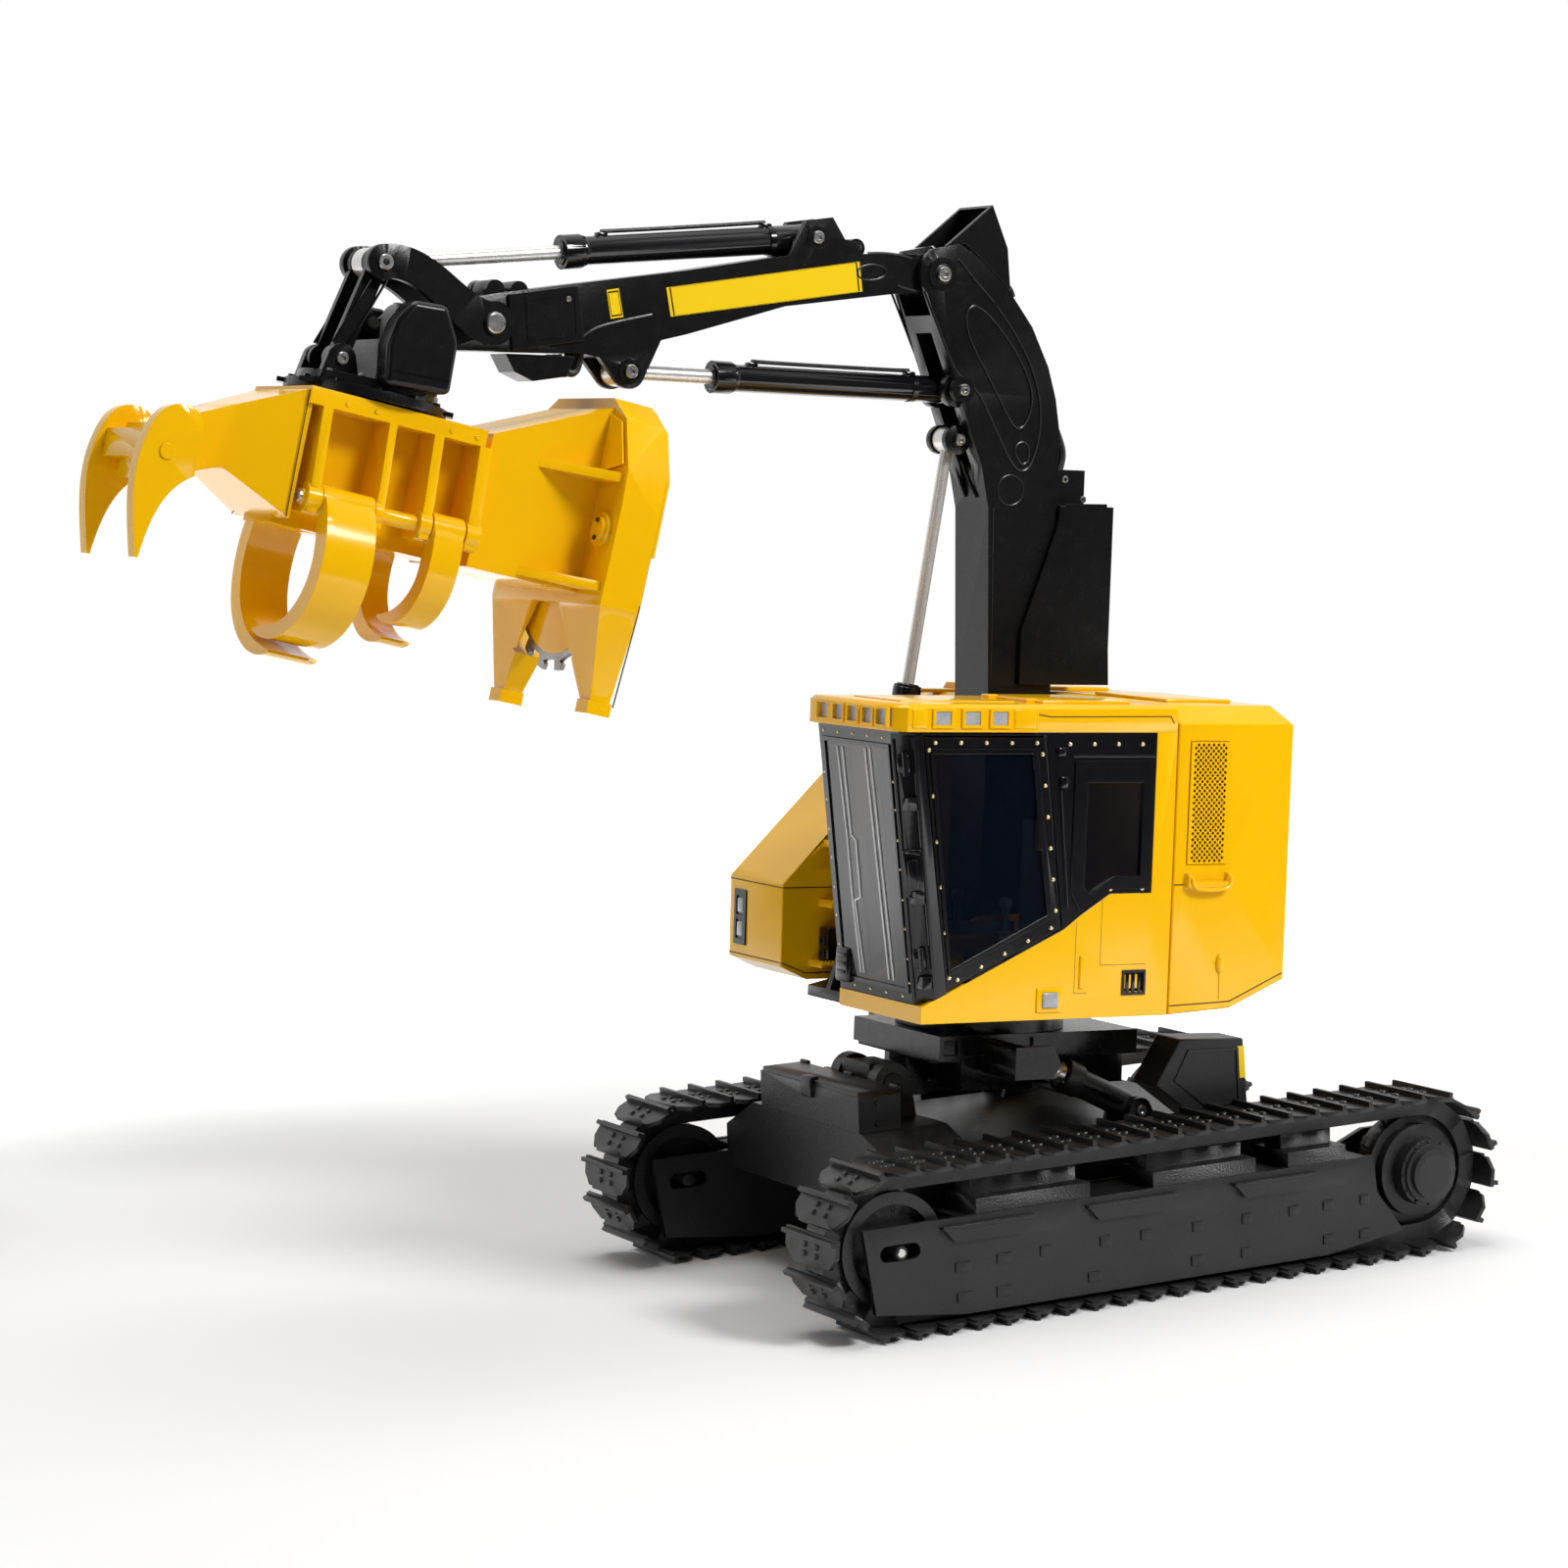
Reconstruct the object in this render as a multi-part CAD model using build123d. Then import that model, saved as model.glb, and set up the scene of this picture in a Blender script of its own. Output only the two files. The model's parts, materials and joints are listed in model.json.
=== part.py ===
"""Scale model of a levelling tracked feller buncher, 1:32, in millimetres.

+X runs to the front along the tracks, +Y to the machine's left, +Z up.
Undercarriage sizes are measured from the middle of the tracks on the ground. Everything above
the levelling pivot is drawn with the machine level and then leaned back by REST_TILT.
"""
import os
from math import atan2, cos, degrees, hypot, pi, radians, sin

from build123d import *

# Overall placing
FRONT_SHIFT = 58.3          # middle of the tracks lies this far behind the row origin
REST_TILT = -4.05           # levelling joint as parked, front up
PIVOT_X, PIVOT_Z = 39.8, 41.3
SLEW_X = 14.0
RING_TOP = 55.0             # top of the slew ring
RING_R = 17.4
GAP = 0.3                   # running gap between moving pieces
PIN_GAP = 0.1               # radial play of a pin in its eye

# Tracks
GAUGE = 86.0
SHOE_COUNT = 50
SHOE_WIDTH = 19.05
SHOE_LENGTH = 6.0
WHEEL_X = 63.5              # idler ahead and sprocket behind the middle
WHEEL_Z = 17.0
CHAIN_R = 13.28             # pitch line round the wheels
SHOE_IN, SHOE_OUT = 1.7, 2.6
GROUSER_OUT = 3.72
LINK_IN = 1.9
LINK_W = 3.4

# Upper structure, level
DECK_Z0, DECK_Z1 = 56.4, 58.6
DECK_X0, DECK_X1, DECK_Y = -9.0, 46.0, 26.0
CAB_X0, CAB_Y0, CAB_Y1 = -0.7, 15.0, 46.0
ROOF_Z0, ROOF_Z1 = 114.9, 120.3
WALL = 1.2
SIDE_Y = 46.0
MODULE_X0, MODULE_X1 = -29.2, -1.1

# Boom, stick and wrist, level
BOOM_Y = -4.0
BOOM_W = 12.8
FOOT_X, FOOT_Z = 9.0, 68.0
LIFT_X, LIFT_Z = 39.5, 70.0
LIFT_EYE = (24.3, 171.6)
TIP = (31.1, 204.7)
STICK_CYL = (25.3, 181.7)
STICK_EYE = (100.4, 182.0)
WRIST_CYL = (59.6, 210.4)
LINK_A = (130.7, 189.7)
LINK_B = (153.6, 199.9)
LINK_C = (161.6, 181.6)
WRIST = (146.5, 189.4)
STICK_W = 9.2
LIFT_R, STICK_R, TILT_R = 2.6, 2.7, 2.8     # barrels of the lift, stick and wrist cylinders
ARM_PIN_R = 1.3
LIFT_STROKE, STICK_STROKE, WRIST_STROKE = 28.5, 9.0, 14.0    # how far each rod can still run in
LIFT_EAR = 1.6

# Head, in its own frame: h along the spine to the push arm, w to the left, n out to the wrist
HEAD_AT = (154.2, BOOM_Y, 173.2)
HEAD_TILT = 11.0
ARM_W, ARM_N = 13.5, -20.5  # grab arm pins
GRAB_PIN_R = 1.5
SAW_N = -19.0               # the disc's axis runs along the spine here

os.makedirs("parts", exist_ok=True)


def slab(x0, x1, y0, y1, z0, z1):
    return Pos((x0 + x1) / 2, (y0 + y1) / 2, (z0 + z1) / 2) * Box(x1 - x0, y1 - y0, z1 - z0)


def side_plate(points, y0, y1):
    """Outline in X and Z, thick in Y."""
    outline = make_face(Polyline(*[(x, y0, z) for x, z in points], close=True))
    return extrude(outline, amount=y1 - y0, dir=(0, 1, 0))


def cross_plate(points, x0, x1):
    """Outline in Y and Z, thick in X."""
    outline = make_face(Polyline(*[(x0, y, z) for y, z in points], close=True))
    return extrude(outline, amount=x1 - x0, dir=(1, 0, 0))


def plan_plate(points, z0, z1):
    """Outline in X and Y, thick in Z."""
    outline = make_face(Polyline(*[(x, y, z0) for x, y in points], close=True))
    return extrude(outline, amount=z1 - z0, dir=(0, 0, 1))


def smooth_face(outer, inner, place):
    """Face between two smooth lines, the second running back beside the first."""
    outer, inner = [place(*p) for p in outer], [place(*p) for p in inner]
    return make_face([Spline(*outer), Line(outer[-1], inner[0]), Spline(*inner), Line(inner[-1], outer[0])])


def smooth_side(outer, inner, y0, y1):
    return extrude(smooth_face(outer, inner, lambda x, z: (x, y0, z)), amount=y1 - y0, dir=(0, 1, 0))


def smooth_cross(outer, inner, x0, x1):
    return extrude(smooth_face(outer, inner, lambda y, z: (x0, y, z)), amount=x1 - x0, dir=(1, 0, 0))


def bar(p, q, r):
    """Round bar from p to q."""
    p, q = Vector(*p), Vector(*q)
    return Solid.make_cylinder(r, (q - p).length, Plane(origin=p, z_dir=q - p))


def bar_y(at, r, y0, y1):
    return bar((at[0], y0, at[1]), (at[0], y1, at[1]), r)


def lug(at, r, foot, y0, y1):
    """Rounded lug about the point at, running out to the two foot points."""
    return bar_y(at, r, y0, y1) + side_plate([tangent(at, foot[0], r, 1), foot[0], foot[1],
                                              tangent(at, foot[1], r, -1), at], y0, y1)


def tangent(centre, point, r, side):
    """Point where the line from point touches the circle about centre."""
    dx, dz = point[0] - centre[0], point[1] - centre[1]
    reach = hypot(dx, dz)
    turn = atan2(dz, dx) + side * atan2((reach**2 - r**2) ** 0.5, r)
    return centre[0] + r * cos(turn), centre[1] + r * sin(turn)


def along(p, q, reach):
    """Point on the way from p to q, in X and Z."""
    span = hypot(q[0] - p[0], q[1] - p[1])
    return p[0] + (q[0] - p[0]) * reach / span, p[1] + (q[1] - p[1]) * reach / span


def both_sides(shape):
    return shape, mirror(shape, Plane.XZ)


def in_head(shape):
    """From the head's own frame to the level machine."""
    return Pos(*HEAD_AT) * Rot(0, -HEAD_TILT, 0) * shape


def level(shape):
    return Pos(PIVOT_X, 0, PIVOT_Z) * Rot(0, REST_TILT, 0) * Pos(-PIVOT_X, 0, -PIVOT_Z) * shape


def save(name, *shapes):
    placed = [Pos(-FRONT_SHIFT, 0, 0) * shape for shape in shapes]
    solids = [solid for shape in placed for solid in shape.solids()]
    export_step(Compound(children=solids), f"parts/{name}.step")
    print(name, len(solids))


def save_level(name, *shapes):
    save(name, *[level(shape) for shape in shapes])


def save_head(name, *shapes):
    save_level(name, *[in_head(shape) for shape in shapes])


# Tracks: one shoe with its grouser and links, set round the wheels
def shoe_solid():
    half = SHOE_WIDTH / 2
    cut = 2.2
    plate = plan_plate([(-SHOE_LENGTH / 2, -half + cut), (-0.6, -half), (SHOE_LENGTH / 2, -half),
                        (SHOE_LENGTH / 2, half), (-0.6, half), (-SHOE_LENGTH / 2, half - cut)],
                       SHOE_IN, SHOE_OUT)
    grouser = slab(1.7, 2.6, -half, half, SHOE_OUT, GROUSER_OUT)
    overlap = slab(-SHOE_LENGTH / 2 - 0.5, -SHOE_LENGTH / 2 + 0.4, -half + cut + 1.5, half - cut - 1.5,
                   SHOE_IN, SHOE_OUT)
    bolts = [Pos(x, y, SHOE_OUT + 0.2) * Box(1.0, 1.0, 0.4)
             for x, y in ((-1.2, -2.2), (-1.2, 2.2), (0.6, -2.2), (0.6, 2.2))]
    return plate + grouser + overlap + bolts


def loop_outline(offset, y0, y1):
    r = CHAIN_R + offset
    tall = Pos(0, (y0 + y1) / 2, WHEEL_Z) * Box(2 * WHEEL_X, y1 - y0, 2 * r)
    return tall + bar_y((WHEEL_X, WHEEL_Z), r, y0, y1) + bar_y((-WHEEL_X, WHEEL_Z), r, y0, y1)


def loop_places():
    straight, turn = 2 * WHEEL_X, pi * CHAIN_R
    pitch = 2 * (straight + turn) / SHOE_COUNT
    for index in range(SHOE_COUNT):
        s = (index * pitch + 2.0) % (2 * (straight + turn))
        if s < turn:
            a = s / CHAIN_R
            yield WHEEL_X + CHAIN_R * sin(a), WHEEL_Z - CHAIN_R * cos(a), degrees(a)
        elif s < turn + straight:
            yield WHEEL_X - (s - turn), WHEEL_Z + CHAIN_R, 180.0
        elif s < 2 * turn + straight:
            a = (s - turn - straight) / CHAIN_R
            yield -WHEEL_X - CHAIN_R * sin(a), WHEEL_Z + CHAIN_R * cos(a), 180.0 + degrees(a)
        else:
            yield -WHEEL_X + s - 2 * turn - straight, WHEEL_Z - CHAIN_R, 0.0


def track():
    """Left track about y = 0: two link rails and the shoes."""
    band = (loop_outline(SHOE_IN + 0.3, -LINK_W, LINK_W) - loop_outline(-LINK_IN, -LINK_W - 1, LINK_W + 1)
            - loop_outline(SHOE_IN - 0.4, -1.1, 1.1))
    shoe = Rot(180, 0, 0) * shoe_solid()
    shoes = [Pos(x, 0, z) * Rot(0, -a, 0) * shoe for x, z, a in loop_places()]
    return band.fuse(*shoes)


left_track = Pos(0, GAUGE / 2, 0) * track()
save("track_left", left_track)
save("track_right", mirror(left_track, Plane.XZ))

# Idlers and sprockets
IDLER_R = CHAIN_R - LINK_IN - 0.05
idler = (bar_y((WHEEL_X, WHEEL_Z), IDLER_R, -4.4, 4.4) - bar_y((WHEEL_X, WHEEL_Z), IDLER_R - 2.4, 2.6, 5)
         - bar_y((WHEEL_X, WHEEL_Z), IDLER_R - 2.4, -5, -2.6)
         + bar_y((WHEEL_X, WHEEL_Z), 1.3, -7.4, 7.6))
save("idlers", *both_sides(Pos(0, GAUGE / 2, 0) * idler))

HUB = (-WHEEL_X, WHEEL_Z)
sprocket = bar_y(HUB, IDLER_R, -2.2, 2.2)
for step in range(11):
    a = radians(step * 360 / 11)
    tooth = Pos(HUB[0] + (IDLER_R + 0.2) * cos(a), 0, HUB[1] + (IDLER_R + 0.2) * sin(a)) * \
        Rot(0, -degrees(a), 0) * Box(2.4, 1.6, 2.2)
    sprocket = sprocket + tooth
sprocket = (sprocket + bar_y(HUB, 9.6, 2.2, 4.4) + bar_y(HUB, 8.6, -4.2, -2.2))
drive = (bar_y(HUB, 7.0, 4.4, 7.6) + bar_y(HUB, 6.2, 7.6, 8.4) + bar_y(HUB, 5.2, 8.4, 9.6))
save("sprockets", *both_sides(Pos(0, GAUGE / 2, 0) * (sprocket + drive)))

# Track frames: a core between the runs, an outer and an inner plate, slide pads and step ledges
PLATE_IN, PLATE_OUT = 5.9, 7.1
CHAIN_LOW, CHAIN_TOP = WHEEL_Z - CHAIN_R, WHEEL_Z + CHAIN_R
CORE_LOW = CHAIN_LOW + LINK_IN + 0.8
PLATE_LOW = CHAIN_LOW - SHOE_IN + 1.0
PLATE_TOP = WHEEL_Z + 5.2
END_R = CHAIN_R - SHOE_IN + 1.3         # plate ends stay inside the shoes on the wheels


def on_wheel(x, turn):
    """Point of a plate's end, END_R from a wheel's middle."""
    return x + END_R * cos(radians(turn)), WHEEL_Z + END_R * sin(radians(turn))


outer_line = [(WHEEL_X + 8.2, PLATE_TOP), on_wheel(WHEEL_X, -64), (49.0, PLATE_LOW), (-38.0, PLATE_LOW),
              on_wheel(-WHEEL_X, -61), (-50.5, WHEEL_Z - 2.4), (-49.8, PLATE_TOP)]
inner_line = [(WHEEL_X + 8.2, PLATE_TOP), on_wheel(WHEEL_X, -64), (49.0, PLATE_LOW), (-46.0, PLATE_LOW),
              (-66.0, WHEEL_Z - 8.0), (-66.0, WHEEL_Z + 8.0), (-57.0, WHEEL_Z + 8.0), (-49.8, PLATE_TOP)]
CORE_TOP = PLATE_TOP - 0.3
track_frame = side_plate([(49.5, CORE_TOP), (49.5, CORE_LOW), (-49.2, CORE_LOW), (-49.2, CORE_TOP)],
                         -PLATE_IN, PLATE_IN)
track_frame = track_frame + side_plate(outer_line, PLATE_IN, PLATE_OUT) \
    + side_plate(inner_line, -PLATE_OUT, -PLATE_IN)
for x0, x1 in ((19.5, 46.0), (-20.5, 4.5), (-43.0, -28.5)):
    track_frame = track_frame + slab(x0, x1, -4.6, 6.6, PLATE_TOP - 0.4, PLATE_TOP + 3.0) \
        + slab(x0 + 1, x1 - 1, -2.8, 2.8, PLATE_TOP + 3.0, CHAIN_TOP - LINK_IN - 0.2)
slot_x = (WHEEL_X - 2.9, WHEEL_X + 2.9)
for y0, y1 in ((PLATE_IN - 1, PLATE_OUT + 1), (-PLATE_OUT - 1, 1 - PLATE_IN)):
    track_frame = track_frame - slab(*slot_x, y0, y1, WHEEL_Z - 1.6, WHEEL_Z + 1.6)
    for x in slot_x:
        track_frame = track_frame - bar_y((x, WHEEL_Z), 1.6, y0, y1)
LEDGE_Z = WHEEL_Z + 2.6
for x0, x1 in ((24.0, 44.0), (-9.5, 9.5), (-45.0, -28.5)):
    track_frame = track_frame + side_plate([(x0, LEDGE_Z), (x1, LEDGE_Z), (x1 - 2.2, LEDGE_Z - 2.4),
                                            (x0 + 2.2, LEDGE_Z - 2.4)], PLATE_OUT, PLATE_OUT + 1.0)
# access covers: middle x, middle z and width
COVERS = ((32, 13.5, 2.6), (20, 13.0, 2.6), (40, 12.2, 2.2), (6, 13.2, 2.6), (-4, 13.0, 2.6),
          (-16, 12.6, 2.4), (-27, 12.8, 2.4), (-36, 12.4, 2.2), (-44, 12.2, 2.2), (40, 7.1, 3.6),
          (30, 7.1, 3.6), (9, 7.1, 4.4), (-18, 7.1, 3.6), (-30, 7.1, 3.6), (-45, 7.1, 3.0))
for x, z, w in COVERS:
    track_frame = track_frame + slab(x - w / 2, x + w / 2, PLATE_OUT, PLATE_OUT + 0.25, z - 0.95, z + 0.95)
left_frame = Pos(0, GAUGE / 2, 0) * track_frame
save("track_frame_left", left_frame)
save("track_frame_right", mirror(left_frame, Plane.XZ))

# Carbody between the track frames, with the ears for the levelling pivot
INNER_Y = GAUGE / 2 - PLATE_OUT
REAR_TOP = 30.0
carbody = cross_plate([(-24.0, 34.2), (20.0, 34.2), (INNER_Y, 28.0), (INNER_Y, 19.0), (-INNER_Y, 19.0),
                       (-INNER_Y, 28.0)], 34.0, 54.0)
carbody = carbody + slab(-34.0, 34.0, -26.0, 26.0, 19.0, 29.5)
carbody = carbody + cross_plate([(-33.0, REAR_TOP), (33.0, REAR_TOP), (INNER_Y, 24.0), (INNER_Y, 15.0),
                                 (-INNER_Y, 15.0), (-INNER_Y, 24.0)], -34.0, -16.0)
PIVOT = (PIVOT_X, PIVOT_Z)
CROSS_PIN_R = 2.1
for side in (-1, 1):
    y0, y1 = sorted((side * 5.8, side * 9.0))
    carbody = carbody + lug(PIVOT, 4.2, ((PIVOT_X + 4.3, 34.2), (PIVOT_X - 6.0, 30.0)), y0, y1)
    carbody = carbody - bar_y(PIVOT, CROSS_PIN_R + PIN_GAP, y0 - 1, y1 + 1)
LEVEL_FOOT = (-8.0, 33.0)
LEVEL_EYE = (15.8, 47.3)
LEVEL_Y = 23.0
LEVEL_R = 2.9
LEVEL_PIN_R = 1.0
EAR = 1.2
ear_out = LEVEL_R + GAP + EAR
for side in (-1, 1):
    for inset in (-ear_out, LEVEL_R + GAP):
        y0, y1 = sorted((side * (LEVEL_Y + inset), side * (LEVEL_Y + inset + EAR)))
        carbody = carbody + lug(LEVEL_FOOT, 2.6, ((-4.0, 29.0), (-12.5, 29.0)), y0, y1)
    carbody = carbody + bar_y(LEVEL_FOOT, LEVEL_PIN_R, side * LEVEL_Y - ear_out, side * LEVEL_Y + ear_out)
save("carbody", carbody)

# Storage box across the front, rear boxes beside the levelling cylinders
BOX_X0, BOX_X1 = 44.6, 54.4
storage = slab(BOX_X0, BOX_X1, -20.0, 20.0, 34.2, 41.6)
storage = storage + slab(BOX_X0 + 0.3, BOX_X1 - 0.3, -19.4, 19.4, 41.6, 42.5)
latch = slab(BOX_X1, BOX_X1 + 0.5, -2.0, 2.0, 39.2, 42.2)
save("storage_box", storage + latch)
rear_box = side_plate([(-30.8, REAR_TOP), (-19.2, REAR_TOP), (-8.0, 38.8), (-14.2, 47.8), (-29.8, 46.4)],
                      24.4, 33.0)
save("rear_boxes", *both_sides(rear_box))

# Levelling: cross block on a Y pin, then the tilt frame on an X pin
cross = slab(PIVOT_X - 4.0, PIVOT_X + 3.6, -5.5, 5.5, PIVOT_Z - 3.4, PIVOT_Z + 3.4)
cross = cross + bar_y(PIVOT, CROSS_PIN_R, -9.3, 9.3)
cross = cross + bar((PIVOT_X - 12.0, 0, PIVOT_Z), (PIVOT_X - 4.0, 0, PIVOT_Z), CROSS_PIN_R)
save_level("levelling_cross", cross)

TILT_Y = 17.0               # half width, clear of the cylinders when tilted sideways
tilt_frame = slab(-14.0, 34.0, -TILT_Y, TILT_Y, 46.6, 51.6)
tilt_frame = tilt_frame + slab(10.0, 34.0, -15.0, 15.0, 40.0, 46.6)
tilt_frame = tilt_frame - slab(27.5, 35.0, -16.0, 16.0, 36.0, 46.0)
tilt_frame = tilt_frame + slab(28.2, 33.4, -3.6, 3.6, 37.8, 46.6)
tilt_frame = tilt_frame - bar((27.0, 0, PIVOT_Z), (36.0, 0, PIVOT_Z), CROSS_PIN_R + PIN_GAP)
for x0, x1 in ((29.6, 33.0), (20.5, 28.5), (11.5, 19.0)):
    for y0, y1 in ((TILT_Y - 0.8, TILT_Y + 1), (-TILT_Y - 1, 0.8 - TILT_Y)):
        tilt_frame = tilt_frame - slab(x0, x1, y0, y1, 47.6, 50.8)
bracket_y = LEVEL_Y + 4.8
for side in (-1, 1):
    y0, y1 = sorted((side * (TILT_Y - 1.0), side * (bracket_y + EAR)))
    e0, e1 = sorted((side * bracket_y, side * (bracket_y + EAR)))
    tilt_frame = tilt_frame + slab(20.2, 23.4, y0, y1, 44.0, 50.6) \
        + side_plate([(23.4, 44.0), (23.4, 50.6), (14.2, 50.6), (12.4, 46.6), (14.6, 44.0)], e0, e1)
tilt_frame = tilt_frame + slab(-14.0, -8.0, -12.0, 12.0, 40.0, 46.6)
save_level("tilt_frame", tilt_frame)
ring_place = Pos(SLEW_X, 0, RING_TOP - 1.7)
save_level("slew_ring", ring_place * Cylinder(RING_R, 3.4) - ring_place * Cylinder(12.0, 5))

# Levelling cylinders: barrel on the carbody, rod up to the tilt frame


def level_point(at):
    """A level machine point in its parked place, in X and Z."""
    a = radians(REST_TILT)
    dx, dz = at[0] - PIVOT_X, at[1] - PIVOT_Z
    return PIVOT_X + dx * cos(a) + dz * sin(a), PIVOT_Z - dx * sin(a) + dz * cos(a)


def cylinder_pair(foot, eye, y, barrel_r, rod_r, barrel_end, eye_r, pin_r, half, gland=1.2, stroke_in=0.0):
    """Barrel with its foot eye, and rod with its closed eye, from foot to eye at width y.

    stroke_in is how far the rod can still run in from where it stands.
    """
    def on_axis(reach):
        x, z = along(foot, eye, reach)
        return x, y, z

    span = hypot(eye[0] - foot[0], eye[1] - foot[1])
    barrel = bar(on_axis(eye_r * 0.6), on_axis(barrel_end), barrel_r)
    barrel = barrel + bar(on_axis(barrel_end - 4.0), on_axis(barrel_end), barrel_r * gland)
    barrel = barrel + bar_y(foot, eye_r, y - half, y + half)
    barrel = barrel - bar(on_axis(eye_r + 0.6), on_axis(barrel_end + 5.0), rod_r + PIN_GAP)
    barrel = barrel - bar_y(foot, pin_r + PIN_GAP, y - half - 1, y + half + 1)
    rod = bar(on_axis(eye_r + 1.6 + stroke_in), on_axis(span - eye_r * 0.6), rod_r)
    rod = rod + bar_y(eye, eye_r, y - half, y + half)
    return barrel, rod


level_eye = level_point(LEVEL_EYE)
for name, side in (("left", 1), ("right", -1)):
    barrel, rod = cylinder_pair(LEVEL_FOOT, level_eye, side * LEVEL_Y, LEVEL_R, 1.9, 18.5, 2.6, LEVEL_PIN_R,
                                2.2)
    save(f"levelling_barrel_{name}", barrel)
    save(f"levelling_rod_{name}", rod)

# Deck with the boom foot ears and the lift cylinder's ears
deck = plan_plate([(DECK_X0, -DECK_Y), (DECK_X1 - 12, -DECK_Y), (DECK_X1, 10 - DECK_Y), (DECK_X1, DECK_Y - 10),
                   (DECK_X1 - 12, DECK_Y), (DECK_X0, DECK_Y)], DECK_Z0, DECK_Z1)
deck_foot = RING_TOP + PIN_GAP
deck = deck + Pos(SLEW_X, 0, (DECK_Z1 + deck_foot) / 2) * Cylinder(RING_R - 3.4, DECK_Z1 - deck_foot)
foot_ear = [(-0.9, DECK_Z1), (20.0, DECK_Z1), (16.5, FOOT_Z + 2), (12.0, FOOT_Z + 7), (6.0, FOOT_Z + 7),
            (-0.9, FOOT_Z)]
for y0, y1 in ((-14.8, -11.2), (3.2, 6.8)):
    deck = deck + side_plate(foot_ear, y0, y1)
deck = deck + bar_y((FOOT_X, FOOT_Z), 2.4, -15.4, 7.4)
lift_out = LIFT_R + GAP + LIFT_EAR
for inset in (-lift_out, LIFT_R + GAP):
    deck = deck + lug((LIFT_X, LIFT_Z), 2.8, ((LIFT_X + 6.5, DECK_Z1), (LIFT_X - 6.0, DECK_Z1)),
                      BOOM_Y + inset, BOOM_Y + inset + LIFT_EAR)
deck = deck + bar_y((LIFT_X, LIFT_Z), ARM_PIN_R, BOOM_Y - lift_out - 0.4, BOOM_Y + lift_out + 0.4)
save_level("upper_deck", deck)

# Cab: yellow base and rear column, black frame, roof, glass, seat, door
DIAGONAL = [(56.2, 62.0), (51.2, 64.2), (24.6, 76.2), (20.6, 79.0), (13.9, 83.1), (4.1, 83.1)]
RIGHT_GLASS = [(51.5, 67.0), (56.5, 110.5), (8.0, 110.5), (8.0, 79.0), (27.0, 79.0)]
REAR_GLASS = [(22.8, 108.8), (5.8, 108.8), (5.8, 84.8), (14.4, 84.8), (21.0, 80.8), (22.8, 84.0)]
PILLAR_X = 4.1              # front of the yellow rear pillar
side_yellow = side_plate([(56.2, DECK_Z1)] + DIAGONAL + [(PILLAR_X, ROOF_Z0), (CAB_X0, ROOF_Z0),
                                                         (CAB_X0, DECK_Z1)], CAB_Y1 - WALL, CAB_Y1)
sill = slab(55.0, 56.6, CAB_Y0, CAB_Y1, DECK_Z1, 62.0)
floor = slab(CAB_X0, 55.0, CAB_Y0 + WALL, CAB_Y1 - WALL, DECK_Z1, 60.0)
rear_wall = slab(CAB_X0, CAB_X0 + WALL, CAB_Y0, CAB_Y1 - WALL, DECK_Z1, ROOF_Z0)
right_wall = side_plate([(CAB_X0, DECK_Z1), (56.2, DECK_Z1), (56.2, 62.0), (51.2, 64.2), (25.04, 76.0),
                         (4.1, 76.0), (4.1, ROOF_Z0), (CAB_X0, ROOF_Z0)], CAB_Y0, CAB_Y0 + WALL)
cab_base = side_yellow + sill + floor + rear_wall + right_wall
BELOW = side_plate([(60.0, 60.33), (51.2, 64.2), (24.6, 76.2), (24.6, 58.0), (60.0, 58.0)],
                   CAB_Y0 - 1, CAB_Y1 + 1)
cab_base = cab_base - slab(5.2, 10.2, CAB_Y1 - 0.5, CAB_Y1 + 1, 63.6, 67.6)
for x in (5.8, 8.1):
    cab_base = cab_base + slab(x, x + 1.5, CAB_Y1 - 0.6, CAB_Y1 - 0.1, 64.2, 67.0)
save_level("cab_base", cab_base)

FRONT_LOW, FRONT_TOP = (56.4, 62.0), (63.7, ROOF_Z0)


def slope_x(z):
    """Windshield plane's X at height z."""
    return FRONT_LOW[0] + (FRONT_TOP[0] - FRONT_LOW[0]) * (z - FRONT_LOW[1]) / (FRONT_TOP[1] - FRONT_LOW[1])


def front_band(z0, z1, y0, y1, depth=1.6):
    return side_plate([(slope_x(z0) - depth, z0), (slope_x(z0), z0), (slope_x(z1), z1),
                       (slope_x(z1) - depth, z1)], y0, y1)


POST_Y = CAB_Y1 - 3.4
POST_DEPTH = 5.2
LAP = 0.6                   # how far joined plates run into each other
shield_place = (64.6, 111.8, CAB_Y0 + 2.2, POST_Y - 1.2)
front_frame = front_band(62.0, ROOF_Z0, CAB_Y0, POST_Y)
front_frame = front_frame - front_band(*shield_place, 5) - Pos(3, 0, 0) * front_band(*shield_place, 5)
post = front_band(62.0, ROOF_Z0, POST_Y, CAB_Y1, POST_DEPTH)
corner_cut = extrude(
    make_face(Polyline((slope_x(62.0) + 0.01, POST_Y, 62.0), (slope_x(62.0) + 3, POST_Y, 62.0),
                       (slope_x(62.0) + 3, CAB_Y1 + 3, 62.0), (slope_x(62.0) - 3.4, CAB_Y1 + 3, 62.0),
                       (slope_x(62.0) - 3.4, CAB_Y1, 62.0), close=True)),
    amount=ROOF_Z0 - 62.0, dir=(slope_x(ROOF_Z0) - slope_x(62.0), 0, ROOF_Z0 - 62.0))
post = post - corner_cut
front_frame = front_frame + post
DOOR = [(51.0, 64.9), (58.1, 113.8), (30.6, 113.8), (25.2, 76.6)]
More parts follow.
